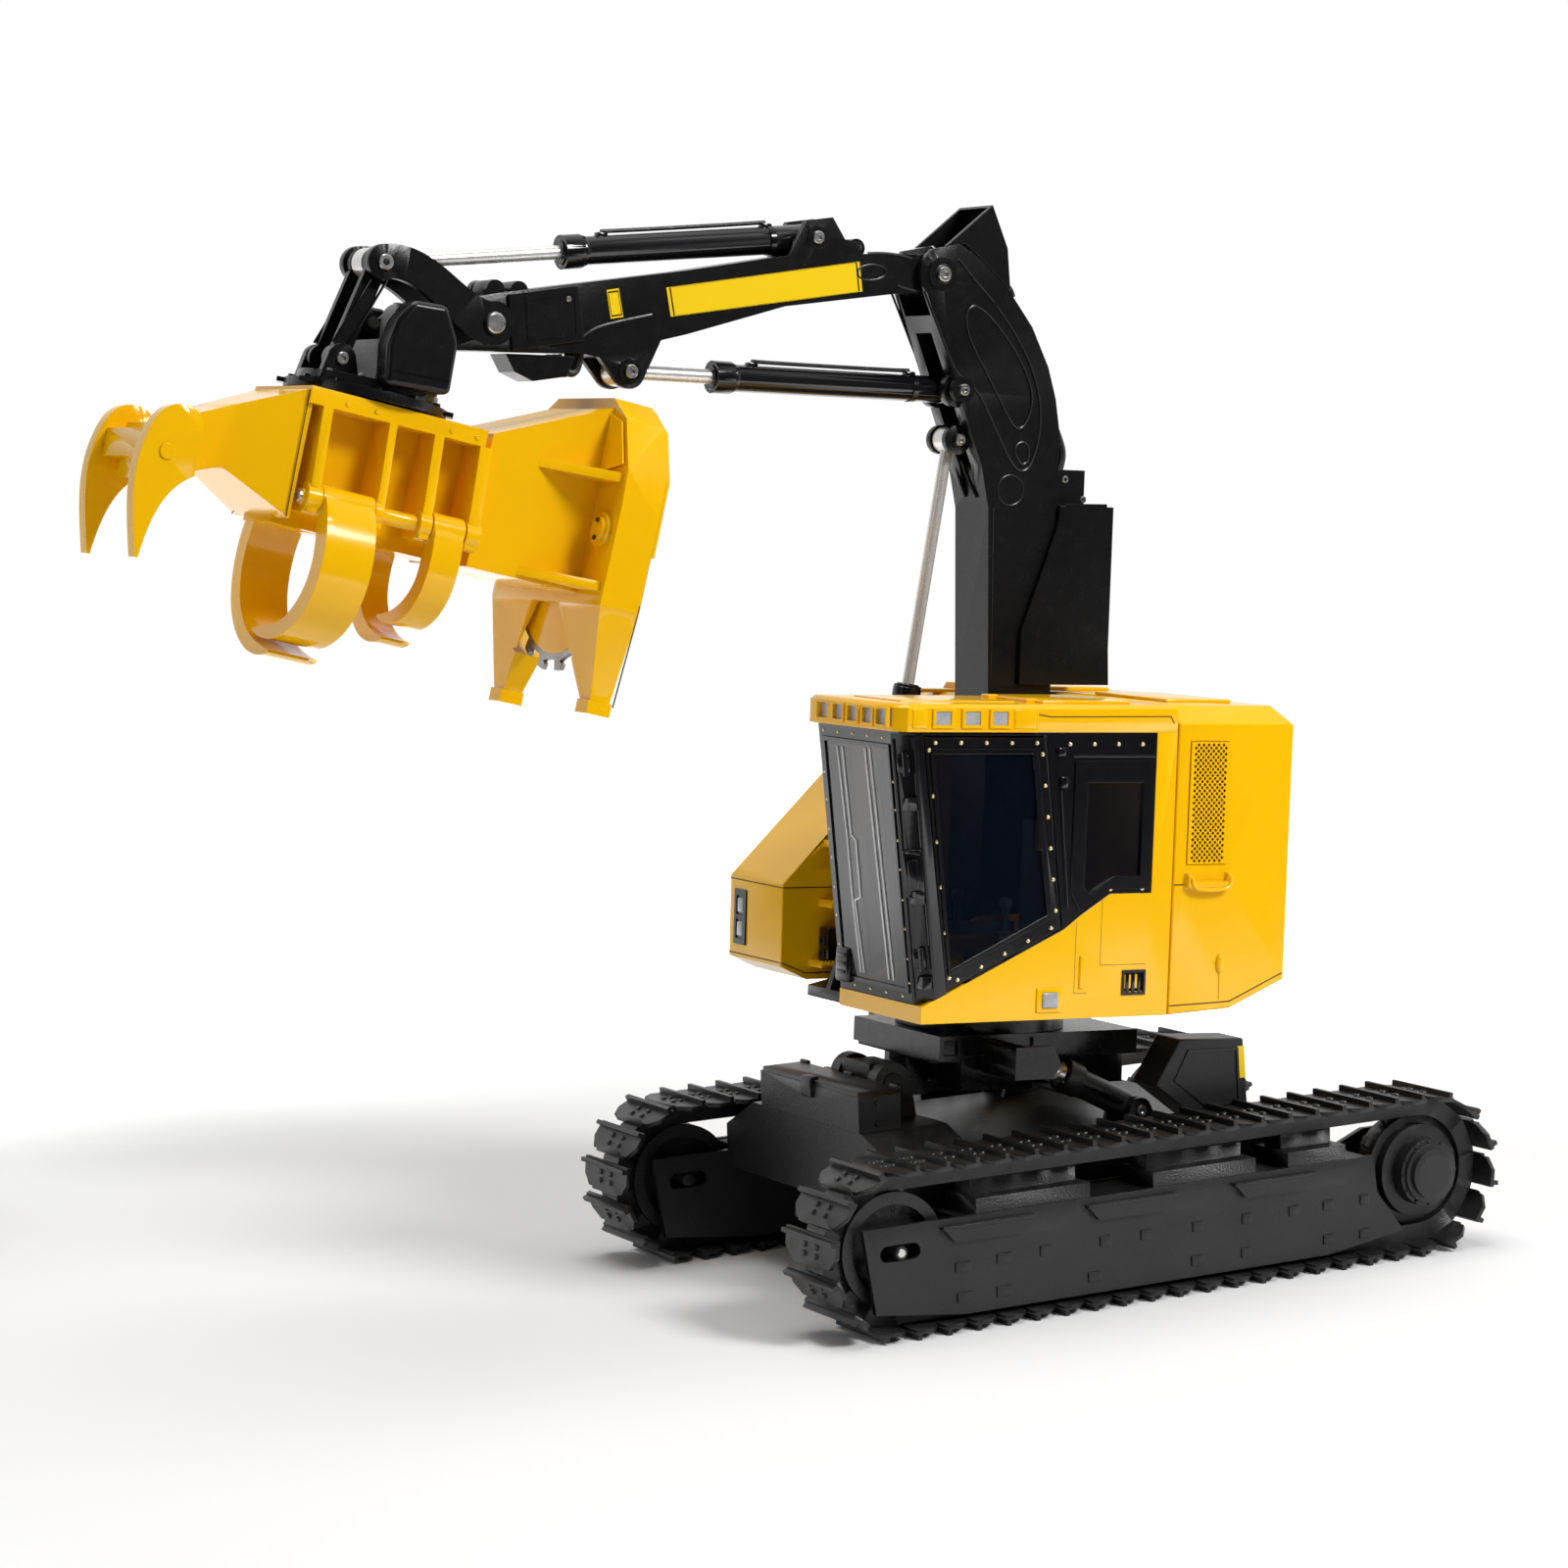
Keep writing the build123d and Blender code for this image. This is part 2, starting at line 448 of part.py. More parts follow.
side_black = side_plate([(53.0, 63.38), (24.6, 76.2), (20.6, 79.0), (13.9, 83.1), (4.1, 83.1), (4.1, ROOF_Z0),
                         (slope_x(ROOF_Z0) - POST_DEPTH + LAP, ROOF_Z0),
                         (slope_x(64.0) - POST_DEPTH + LAP, 64.0)], CAB_Y1 - WALL, CAB_Y1)
for hole in ([(50.9, 64.3), (58.5, 114.3), (30.2, 114.3), (24.8, 76.3)], REAR_GLASS):
    side_black = side_black - side_plate(hole, CAB_Y1 - WALL - 1, CAB_Y1 + 1)
right_black = side_plate([(53.6, 63.12), (25.04, 76.0), (4.1, 76.0), (4.1, ROOF_Z0),
                          (slope_x(ROOF_Z0) - 1.6 + LAP, ROOF_Z0), (slope_x(63.2) - 1.6 + LAP, 63.2)],
                         CAB_Y0, CAB_Y0 + WALL)
right_black = right_black - side_plate(RIGHT_GLASS, CAB_Y0 - 1, CAB_Y0 + 3)
for z in (66.5, 83.0, 101.0):
    front_frame = front_frame + Pos(slope_x(z) - 1.6, CAB_Y1 - 1.0, z) * Box(2.0, 2.0, 2.4)
save_level("cab_frame", (front_frame + side_black + right_black) - BELOW)

roof = plan_plate([(CAB_X0, 14.6), (65.4, 14.6), (65.9, 18.0), (64.4, 44.6), (62.4, 46.8), (32.8, 46.8),
                   (32.8, CAB_Y1), (CAB_X0, CAB_Y1)], ROOF_Z0, ROOF_Z1)
roof = chamfer(roof.faces().sort_by(Axis.Z)[-1].edges(), 0.8)
LAMP_YS = (20.0, 25.6, 31.2, 36.8, 42.0)
LAMP_XS = (41.7, 48.0, 54.6)
LAMP_Z = 117.6
lamp_x = 64.6
lamps = []
for y in LAMP_YS:
    roof = roof - slab(lamp_x - 0.4, 68, y - 1.9, y + 1.9, LAMP_Z - 1.6, LAMP_Z + 1.5)
    lamps.append(slab(lamp_x - 0.4, lamp_x + 0.4, y - 1.9, y + 1.9, LAMP_Z - 1.6, LAMP_Z + 1.5))
for x in LAMP_XS:
    roof = roof - slab(x - 1.9, x + 1.9, 46.1, 48, LAMP_Z - 1.4, LAMP_Z + 1.4)
    lamps.append(slab(x - 1.9, x + 1.9, 46.1, 47.0, LAMP_Z - 1.4, LAMP_Z + 1.4))
save_level("cab_roof", roof)
save_level("roof_lamps", *lamps)

save_level("windshield", front_band(*shield_place, 1.1))
save_level("side_windows", side_plate(REAR_GLASS, CAB_Y1 - 0.8, CAB_Y1 - 0.3),
           side_plate(RIGHT_GLASS, CAB_Y0 + 0.3, CAB_Y0 + 0.8))
door_glass_line = [(50.6, 68.4), (56.4, 111.2), (32.8, 111.2), (28.0, 79.0)]
door = side_plate(DOOR, CAB_Y1 - WALL, CAB_Y1) - side_plate(door_glass_line, CAB_Y1 - 3, CAB_Y1 + 1)
door = door + slab(30.6, 31.8, CAB_Y1 - 0.2, CAB_Y1 + 0.8, 92.0, 99.0)
save_level("cab_door", door)
save_level("door_glass", side_plate(door_glass_line, CAB_Y1 - 0.8, CAB_Y1 - 0.3))

seat = slab(20.0, 33.0, 23.0, 38.0, 66.0, 70.0) + slab(17.0, 20.5, 23.5, 37.5, 66.5, 96.0)
seat = seat + slab(22.0, 31.0, 26.0, 35.0, 60.0, 66.0)
for y in (20.4, 38.2):
    seat = seat + slab(21.0, 36.0, y, y + 2.4, 73.0, 75.4) + slab(22.5, 24.5, y, y + 2.4, 67.0, 73.0) \
        + slab(22.5, 24.5, 22.8, 38.2, 67.0, 69.0) + Pos(34.0, y + 1.2, 78.0) * Cylinder(0.7, 5.4) \
        + Pos(34.0, y + 1.2, 80.8) * Sphere(1.3)
console = slab(38.0, 44.0, 18.5, 23.0, 60.0, 78.0)
console = console + side_plate([(37.5, 78.0), (44.0, 78.0), (42.0, 86.0), (40.6, 86.0)], 18.8, 22.8)
save_level("cab_seat", seat, console)

# Rear module and right front enclosure
module = side_plate([(-16.2, DECK_Z1 + 0.9), (MODULE_X1, DECK_Z1), (MODULE_X1, 120.2), (-25.8, 120.2),
                     (MODULE_X0, 116.6), (MODULE_X0, 65.0)], -SIDE_Y, SIDE_Y)
bevel = cross_plate([(SIDE_Y + 1, 116.6), (SIDE_Y + 1, 121.0), (42.4, 121.0), (42.4, 120.2), (SIDE_Y, 116.6)],
                    -40, 10)
module = module - bevel - mirror(bevel, Plane.XZ)
module = module - slab(-13.4, -4.2, SIDE_Y - 0.6, SIDE_Y + 1, 88.8, 113.0)
module = module + slab(-13.6, -4.6, SIDE_Y, SIDE_Y + 1.4, 84.0, 85.2)
for x in (-14.4, -4.6):
    module = module + slab(x, x + 0.8, SIDE_Y, SIDE_Y + 1.4, 84.0, 87.0)
save_level("engine_module", module)
NOSE = [(-0.9, DECK_Z1), (42.0, DECK_Z1), (48.3, 61.4), (48.5, 78.6), (46.8, 80.4), (10.6, 116.6),
        (7.0, 118.6), (-0.9, 118.6)]
clamshell = side_plate(NOSE, -SIDE_Y, -23.5)
clamshell = clamshell - slab(48.0, 50, -43.4, -38.8, 64.6, 75.6)
for z0 in (65.6, 70.6):
    clamshell = clamshell + slab(48.0, 48.4, -42.6, -39.6, z0, z0 + 3.8)
for x, z in ((37.5, 74.5), (39.5, 62.0), (37.0, 87.0)):
    clamshell = clamshell + slab(x - 2.0, x + 2.0, -23.5, -18.5, z - 0.6, z + 0.6)
save_level("right_enclosure", clamshell)

# Boom
FOOT = (FOOT_X, FOOT_Z)
B0, B1 = BOOM_Y - BOOM_W / 2, BOOM_Y + BOOM_W / 2
BOOM_LINE = [(1.2, 70.0), (1.2, 173.2), (2.6, 180.8), (4.7, 187.2), (9.0, 195.2), (15.0, 202.4),
             (22.0, 208.2), (27.0, 211.0), (33.6, 209.6), (36.2, 205.6), (35.2, 202.4), (28.4, 186.6),
             (22.8, 173.0), (20.0, 166.5), (18.0, 157.8), (16.4, 120.0), (16.4, 70.0)]
boom = side_plate(BOOM_LINE, B0, B1) + bar_y(FOOT, 7.6, B0, B1)
boom = boom - bar_y(FOOT, 2.5, B0 - 1, B1 + 1) + bar_y(TIP, 5.2, B0, B1)
boom = boom - slab(15.0, 45.0, BOOM_Y - STICK_W / 2 - GAP, BOOM_Y + STICK_W / 2 + GAP, 196.4, 216.0)
boom = boom + bar_y(TIP, 2.0, B0 - 0.6, B1 + 0.6)
STICK_EAR = 2.0
slot = STICK_R + GAP
for inset in (-slot - STICK_EAR, slot):
    boom = boom + lug(STICK_CYL, 3.6, ((21.0, 188.0), (17.0, 176.0)), BOOM_Y + inset,
                      BOOM_Y + inset + STICK_EAR)
boom = boom - slab(21.4, 40.0, BOOM_Y - slot, BOOM_Y + slot, 174.6, 193.0)
boom = boom + bar_y(STICK_CYL, ARM_PIN_R, B0 - 0.4, B1 + 0.4)
boom = boom - slab(18.6, 30.0, BOOM_Y - 2.3, BOOM_Y + 2.3, 160.0, 175.6)
for inset in (-3.8, 2.3):
    boom = boom + lug(LIFT_EYE, 3.0, ((20.0, 178.0), (18.4, 160.0)), BOOM_Y + inset, BOOM_Y + inset + 1.5)
for y0, y1 in ((BOOM_Y - 4.2, BOOM_Y - 2.3), (BOOM_Y + 2.3, BOOM_Y + 4.2)):
    boom = boom + bar_y(LIFT_EYE, ARM_PIN_R, y0, y1)
save_level("boom", boom)
cowl = side_plate([(26.0, 211.2), (30.4, 210.4), (19.6, 219.4), (15.6, 210.8), (14.6, 202.4), (22.0, 208.4)],
                  B0, B1)
cowl = cowl - side_plate([(26.4, 209.0), (33.0, 209.0), (21.0, 219.6), (19.2, 217.6), (16.6, 210.6),
                          (16.0, 203.0)], B0 + 1.0, B1 - 1.0)
save_level("boom_cowl", cowl)
guard = side_plate([(9.6, 133.0), (-0.1, 159.4), (-10.4, 159.6), (-12.4, 122.0), (9.6, 122.0)], B1, B1 + 1.2)
guard = guard + slab(-12.0, 1.2, B0 + 1, B1 + 1.2, 122.2, 159.0) - slab(-11.0, 0.2, B0 + 2, B1, 121.0, 160.0)
guard = guard + slab(-6.0, 1.2, B0 + 3, B1 - 1.0, 155.6, 166.4)
save_level("boom_hose_guard", guard)

lift_barrel, lift_rod = cylinder_pair((LIFT_X, LIFT_Z), LIFT_EYE, BOOM_Y, LIFT_R, 1.25, 51.8, 2.6, ARM_PIN_R,
                                      2.0, 1.1, LIFT_STROKE)
save_level("lift_barrel", lift_barrel)
save_level("lift_rod", lift_rod)

# Stick
S0, S1 = BOOM_Y - STICK_W / 2, BOOM_Y + STICK_W / 2
STICK_LINE = [(36.0, 208.4), (61.9, 207.2), (88.4, 202.2), (127.6, 195.8), (133.0, 194.8), (140.0, 192.6),
              (146.5, 193.0), (149.8, 189.8), (146.5, 185.8), (140.4, 184.2), (111.4, 185.0), (105.4, 184.2),
              (100.4, 186.2), (95.0, 188.0), (88.0, 189.8), (66.2, 196.4), (36.8, 200.9)]
stick = side_plate(STICK_LINE, S0, S1) + bar_y(TIP, 4.3, S0, S1) \
    + side_plate([(31.1, 209.0), (36.0, 208.4), (36.8, 200.9), (31.1, 200.4)], S0, S1)
stick = stick - bar_y(TIP, 2.1, S0 - 1, S1 + 1)
for y0, y1 in ((S0, BOOM_Y - TILT_R - GAP), (BOOM_Y + TILT_R + GAP, S1)):
    stick = stick + lug(STICK_EYE, 3.4, ((92.0, 192.0), (112.0, 190.0)), y0, y1)
    stick = stick + side_plate([(49.0, 205.0), (49.4, 210.0), (53.0, 210.4), (56.0, 214.6), (62.0, 213.6),
                                (66.4, 205.0)], y0, y1)
stick = stick - slab(88.0, 106.0, BOOM_Y - 2.6, BOOM_Y + 2.6, 176.0, 188.6)
for y0, y1 in ((S0 - 0.4, BOOM_Y - 2.6), (BOOM_Y + 2.6, S1 + 0.4)):
    stick = stick + bar_y(STICK_EYE, ARM_PIN_R, y0, y1)
stick = stick + bar_y(WRIST_CYL, ARM_PIN_R, S0 - 0.4, S1 + 0.4)
stick = stick - slab(139.6, 152.0, BOOM_Y - 3.0, BOOM_Y + 3.0, 183.0, 196.0)
stick = stick + bar_y(LINK_A, 2.2, S0 - 2.6, S1 + 2.6)
stick = stick + bar_y(WRIST, 1.7, S0, S1)
for x in (124.5, 129.5):
    stick = stick + bar_y((x, 196.4), 1.7, BOOM_Y - 3.0, BOOM_Y + 3.0)
save_level("stick", stick)
plate = side_plate([(110.6, 187.4), (112.4, 198.0), (127.2, 195.4), (126.0, 184.8)], S1, S1 + 0.6)
under = side_plate([(111.6, 184.4), (126.6, 184.2), (124.6, 180.8), (120.6, 179.2), (113.4, 180.4)],
                   S0 + 1, S1 - 1)
save_level("stick_guard", plate, under)

stick_barrel, stick_rod = cylinder_pair(STICK_CYL, STICK_EYE, BOOM_Y, STICK_R, 1.5, 54.6, 2.9, ARM_PIN_R, 2.3,
                                        stroke_in=STICK_STROKE)
save_level("stick_barrel", stick_barrel)
save_level("stick_rod", stick_rod)
wrist_barrel, wrist_rod = cylinder_pair(WRIST_CYL, LINK_B, BOOM_Y, TILT_R, 1.4, 54.6, 2.9, ARM_PIN_R, 2.3,
                                        stroke_in=WRIST_STROKE)
save_level("wrist_barrel", wrist_barrel)
save_level("wrist_rod", wrist_rod)

# Wrist linkage: curved arms on the stick, straight links down to the wrist
ARM_T = 1.8
arm = bar_y(LINK_A, 4.2, 0, ARM_T) + bar_y(LINK_B, 3.4, 0, ARM_T) \
    + smooth_side([(128.4, 193.2), (135.0, 195.2), (142.0, 200.0), (148.0, 202.8), (153.4, 203.3)],
                  [(154.6, 196.6), (149.0, 196.4), (143.4, 193.0), (138.0, 188.6), (132.4, 185.9)], 0, ARM_T)
arm = arm - bar_y(LINK_A, 2.3, -1, 3)
LINK_IN_Y, LINK_T = 2.9, 1.5          # links lie this far from the middle
pin_out = bar_y(LINK_B, 1.2, LINK_IN_Y - 0.3, STICK_W / 2 + 2.8)
arm = Pos(0, BOOM_Y, 0) * (Pos(0, STICK_W / 2 + 0.5, 0) * arm + pin_out)
save_level("wrist_arms", arm, Pos(0, 2 * BOOM_Y, 0) * mirror(arm, Plane.XZ))
link = bar_y(LINK_B, 2.9, 0, LINK_T) + bar_y(LINK_C, 2.7, 0, LINK_T) + \
    side_plate([(151.6, 199.6), (155.6, 200.4), (163.4, 182.2), (159.8, 181.0)], 0, LINK_T)
link = link - bar_y(LINK_B, 1.2 + PIN_GAP, -1, 3)
save_level("wrist_links", Pos(0, BOOM_Y + LINK_IN_Y, 0) * link, Pos(0, BOOM_Y - LINK_IN_Y - LINK_T, 0) * link)

# Wrist: yoke on the stick's end, covers and the slewing flange
yoke = Pos(0, 0, 2.9) * Cylinder(13.5, 2.2) + Pos(0, 0, 1.1) * Cylinder(15.6, 1.8)
yoke_box = Pos(-3.0, 0, 7.8) * Box(13.0, 22.0, 8.0)
wrist = in_head(yoke + yoke_box)
wrist = wrist + lug(WRIST, 3.4, ((151.0, 180.0), (139.6, 180.0)), BOOM_Y - 2.7, BOOM_Y + 2.7)
wrist = wrist - bar_y(WRIST, 1.8, BOOM_Y - 3.5, BOOM_Y + 3.5)
for inset in (-6.4, 4.6):
    wrist = wrist + lug(LINK_C, 2.8, ((166.0, 178.0), (158.0, 177.0)), BOOM_Y + inset, BOOM_Y + inset + 1.8)
for y0, y1 in ((BOOM_Y - 9, BOOM_Y - 2.75), (BOOM_Y + 2.75, BOOM_Y + 9)):
    wrist = wrist - side_plate([(125.0, 178.0), (152.4, 183.2), (152.4, 196.0), (125.0, 196.0)], y0, y1)
for y0, y1 in ((BOOM_Y - 4.55, BOOM_Y - 2.75), (BOOM_Y + 2.75, BOOM_Y + 4.55)):
    wrist = wrist - bar_y(LINK_C, 5.0, y0, y1)        # room for the links' eyes, which drift
save_level("wrist", wrist)
cover = in_head(Pos(-4.0, 14.0, 13.0) * Box(12.0, 6.0, 15.6))
save_level("wrist_covers", cover, in_head(Pos(-4.0, -14.0, 13.0) * Box(12.0, 6.0, 15.6)))

# Head frame, in its own frame: top plate, spine and ribs, and the push arm with its claws
FRAME_W, FRAME_LOW = 14.0, -26.0
PLATE_N = -0.2              # top plate, just under the wrist's flange
PLATE_T = 3.2
FRAME_H0, FRAME_H1 = -21.5, 16.5
frame = slab(FRAME_H0 + 1.5, FRAME_H1, -FRAME_W, FRAME_W, PLATE_N - PLATE_T, PLATE_N)
frame = frame + slab(FRAME_H0 + 1.5, FRAME_H1, -6.5, 6.5, FRAME_LOW, PLATE_N - PLATE_T)
pin_w, pin_n = ARM_W + 2.4, ARM_N - 2.6
rib_line = [(-FRAME_W, -3.4), (FRAME_W, -3.4), (15.6, -16.0), (pin_w, pin_n), (-pin_w, pin_n), (-15.6, -16.0)]
for h0, h1 in ((FRAME_H0, -19.0), (-11.4, -9.4), (-1.6, 0.0), (11.6, 13.6)):
    frame = frame + cross_plate(rib_line, h0, h1)
for w in (-ARM_W, ARM_W):
    frame = frame + bar((FRAME_H0, w, ARM_N), (14.4, w, ARM_N), GRAB_PIN_R)


def tapered(near, h0, far, h1):
    """Ruled block between two outlines in w and n."""
    return Solid.make_loft([Wire.make_polygon([(h0, w, n) for w, n in near]),
                            Wire.make_polygon([(h1, w, n) for w, n in far])], ruled=True)


def mirrored(points):
    """Left half outline from top to bottom, closed by its mirror."""
    return points + [(-w, n) for w, n in reversed(points)]


root = mirrored([(13.2, PLATE_N - 0.2), (13.2, -25.0)])
elbow = mirrored([(9.4, -6.8), (9.4, -18.4)])
wrist_end = mirrored([(8.5, -13.2), (8.5, -23.6)])
push = tapered(root, FRAME_H1 - 1.0, elbow, 29.0) + tapered(elbow, 29.0, wrist_end, 42.0)
claw = smooth_side([(35.6, -13.4), (38.6, -9.6), (42.6, -10.2), (46.0, -16.0), (46.6, -25.0), (43.6, -38.4)],
                   [(43.0, -38.4), (41.8, -31.0), (39.4, -25.4), (35.6, -21.8)], 0, 3.2)
push = push + Pos(0, 11.0, 0) * claw + Pos(0, -14.2, 0) * claw + slab(37.0, 44.6, -14.2, 14.2, -20.0, -14.8)
save_head("head_frame", frame + push)

# Saw housing: neck, shield over the disc with two toes, webs between neck and shield
SAW_H0, SAW_H1 = -53.8, -45.4           # shield, underside and top
SAW_R = 22.2                            # over the teeth
SHIELD_T = 1.8
NECK_W = 13.2
housing = side_plate([(FRAME_H0, -0.4), (SAW_H1 - 0.4, 10.4), (SAW_H1 - 0.4, FRAME_LOW),
                      (FRAME_H0, FRAME_LOW)], -NECK_W, NECK_W)
SHIELD = mirrored([(12.0, 12.2), (19.0, 8.2), (24.0, -1.6), (24.4, -10.0), (23.8, -28.0)])
housing = housing + cross_plate(SHIELD, SAW_H0, SAW_H1)
for side in (-1, 1):
    toe_root = [(SAW_H0, side * 6.0), (SAW_H1, side * 6.0), (SAW_H1, side * 23.8), (SAW_H0, side * 23.8)]
    toe_end = [(-52.8, side * 17.2), (-48.8, side * 17.2), (-48.8, side * 21.2), (-52.8, side * 21.2)]
    housing = housing + Solid.make_loft([Wire.make_polygon([(h, w, -27.8) for h, w in toe_root]),
                                         Wire.make_polygon([(h, w, -46.4) for h, w in toe_end])], ruled=True)
    for n in (-3.4, -24.4):
        web = [(-31.0, NECK_W - LAP), (SAW_H1 - LAP, NECK_W - LAP), (SAW_H1 - LAP, 22.4),
               (SAW_H1 + 1.2, 22.4)]
        housing = housing + plan_plate([(h, side * w) for h, w in web], n - 0.9, n + 0.9)
    housing = housing + bar((SAW_H1 - LAP, side * 18.8, -13.6), (SAW_H1 + 0.9, side * 18.8, -13.6), 3.4)
    tip0, tip1 = sorted((side * 16.8, side * 21.6))
    housing = housing + slab(-53.2, -48.2, tip0, tip1, -48.4, -45.8)
housing = housing - bar((SAW_H0 - 6, 0, SAW_N), (SAW_H1 - SHIELD_T, 0, SAW_N), SAW_R + 0.8)
housing = housing - bar((SAW_H0 - 6, 0, SAW_N), (-30, 0, SAW_N), 2.6)
save_head("saw_housing", housing)
cover = cross_plate(mirrored([(12.0, 11.6), (18.8, 7.4), (23.6, -2.2), (23.6, -17.0)]), SAW_H0 - 1.1, SAW_H0)
save_head("saw_bottom_cover", cover - bar((SAW_H0 - 6, 0, SAW_N), (-50, 0, SAW_N), 12.0))

# Saw disc: rim with teeth, and the dished top that shows between the toes
DISC_H0, DISC_H1 = -50.2, -49.2
TEETH = 18
disc = bar((DISC_H0, 0, SAW_N), (DISC_H1, 0, SAW_N), SAW_R - 1.8) \
    + bar((-51.4, 0, SAW_N), (-38.0, 0, SAW_N), 2.5) + bar((-51.6, 0, SAW_N), (-48.4, 0, SAW_N), 6.0)
disc = disc + Pos((DISC_H1 + SAW_H1 - SHIELD_T - GAP) / 2, 0, SAW_N) * Rot(0, 90, 0) \
    * Cone(18.2, 9.0, SAW_H1 - SHIELD_T - GAP - DISC_H1)
for step in range(TEETH):
    disc = disc + Pos((DISC_H0 + DISC_H1) / 2, 0, SAW_N) * Rot(step * 360 / TEETH, 0, 0) \
        * Pos(0, 0, SAW_R - 1.2) * Box(1.8, 2.4, 2.4)
save_head("saw_disc", disc)

# Grab arms: crescents about pins along the spine, the right one closing outside the left.
# Each has its outer line from the pin to the tip and its inner line back
BIG_LEFT = ([(16.4, -19.6), (20.0, -25.6), (20.9, -33.0), (17.6, -40.6), (10.6, -45.4), (2.0, -47.1),
             (-6.0, -45.8)],
            [(-5.6, -45.4), (-0.6, -44.6), (6.0, -43.6), (12.2, -40.0), (15.8, -34.2), (15.6, -27.8),
             (10.8, -20.6)])
BIG_RIGHT = ([(-16.4, -19.6), (-20.4, -25.6), (-21.4, -33.0), (-19.2, -40.6), (-13.4, -46.6), (-5.0, -50.0),
              (4.4, -49.6)],
             [(4.2, -49.1), (-1.0, -48.2), (-7.4, -46.2), (-13.4, -41.8), (-16.8, -35.0), (-16.4, -27.8),
              (-10.8, -20.6)])
SMALL_LEFT = ([(16.2, -19.8), (17.3, -26.0), (16.0, -32.2), (11.4, -37.2), (4.6, -39.4), (-2.4, -38.2)],
              [(-2.2, -37.8), (2.4, -37.2), (8.2, -34.8), (12.0, -30.6), (12.6, -25.4), (10.8, -21.0)])
SMALL_RIGHT = ([(-16.2, -19.8), (-17.9, -26.2), (-17.0, -33.4), (-12.6, -39.8), (-5.4, -43.0), (2.2, -42.4)],
               [(2.0, -41.9), (-2.8, -40.9), (-8.8, -37.8), (-12.8, -32.0), (-12.8, -25.8), (-10.8, -21.0)])
for name, lines, h0, h1 in (("grab_arm_left", BIG_LEFT, 0.6, 10.6), ("grab_arm_right", BIG_RIGHT, 0.6, 10.6),
                            ("holding_arm_left", SMALL_LEFT, -18.2, -12.2),
                            ("holding_arm_right", SMALL_RIGHT, -18.2, -12.2)):
    w = ARM_W if "left" in name else -ARM_W
    arm = smooth_cross(*lines, h0, h1) + bar((h0 - 0.3, w, ARM_N), (h1 + 0.3, w, ARM_N), 2.9)
    save_head(name, arm - bar((h0 - 2, w, ARM_N), (h1 + 2, w, ARM_N), GRAB_PIN_R + PIN_GAP))
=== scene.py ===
import json
import math
import bpy
import bmesh
from mathutils import Matrix, Vector


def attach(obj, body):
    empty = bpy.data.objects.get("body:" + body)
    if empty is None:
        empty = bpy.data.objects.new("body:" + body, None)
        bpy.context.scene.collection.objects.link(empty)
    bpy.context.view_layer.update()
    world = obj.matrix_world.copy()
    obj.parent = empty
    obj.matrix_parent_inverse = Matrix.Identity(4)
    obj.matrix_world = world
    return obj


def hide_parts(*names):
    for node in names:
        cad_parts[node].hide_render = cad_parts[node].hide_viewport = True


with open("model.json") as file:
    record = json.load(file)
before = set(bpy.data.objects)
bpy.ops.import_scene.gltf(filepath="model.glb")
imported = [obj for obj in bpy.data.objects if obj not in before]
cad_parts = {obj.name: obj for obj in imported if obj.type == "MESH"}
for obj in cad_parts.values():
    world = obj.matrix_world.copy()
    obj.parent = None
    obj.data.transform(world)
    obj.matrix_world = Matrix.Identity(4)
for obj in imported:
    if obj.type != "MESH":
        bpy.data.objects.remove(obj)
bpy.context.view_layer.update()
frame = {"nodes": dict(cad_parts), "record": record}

print("frame loaded,", len(frame["nodes"]), "nodes")

# The part's own places, in millimetres: undercarriage from the middle of the tracks, the rest as if level
stand = {"frontShift": 58.3, "restTilt": -4.05, "pivot": (39.8, 0.0, 41.3), "headAt": (154.2, -4.0, 173.2),
         "headTilt": 11.0}
rowPlace = Matrix.Scale(0.001, 4) @ Matrix.Translation((-stand["frontShift"], 0, 0))
pivotPoint = Vector(stand["pivot"])
levelPlace = (rowPlace @ Matrix.Translation(pivotPoint) @ Matrix.Rotation(math.radians(stand["restTilt"]), 4, "Y")
              @ Matrix.Translation(-pivotPoint))
headPlace = levelPlace @ Matrix.Translation(stand["headAt"]) @ Matrix.Rotation(math.radians(-stand["headTilt"]), 4, "Y")


# Camera, at the photograph's angle
cameraSettings = {"place": (0.3939, 0.7020, 0.1869), "yaw": 60.69, "pitch": 5.96, "roll": -1.56, "lens": 92.745,
                  "clip": (0.01, 20)}


def addCamera(settings):
    yaw, pitch, roll = (math.radians(settings[k]) for k in ("yaw", "pitch", "roll"))
    ahead = Vector((-math.cos(yaw) * math.cos(pitch), -math.sin(yaw) * math.cos(pitch), -math.sin(pitch)))
    right = ahead.cross(Vector((0, 0, 1))).normalized()
    up = right.cross(ahead)
    turnedRight = math.cos(roll) * right + math.sin(roll) * up
    turnedUp = -math.sin(roll) * right + math.cos(roll) * up
    turn = Matrix((turnedRight, turnedUp, -ahead)).transposed().to_4x4()
    data = bpy.data.cameras.new("camera")
    data.lens = settings["lens"]
    data.clip_start, data.clip_end = settings["clip"]
    camera = bpy.data.objects.new("camera", data)
    camera.matrix_world = Matrix.Translation(settings["place"]) @ turn
    bpy.context.collection.objects.link(camera)
    bpy.context.scene.camera = camera


addCamera(cameraSettings)


# Node trees
def feed(tree, node, inputs):
    # an input takes a value, or a link when it is given a socket
    for key, value in inputs.items():
        if isinstance(value, bpy.types.NodeSocket):
            tree.links.new(value, node.inputs[key])
        else:
            node.inputs[key].default_value = value


def addNode(tree, kind, inputs=None, **settings):
    node = tree.nodes.new(kind)
    for key, value in settings.items():
        setattr(node, key, value)
    feed(tree, node, inputs or {})
    return node.outputs


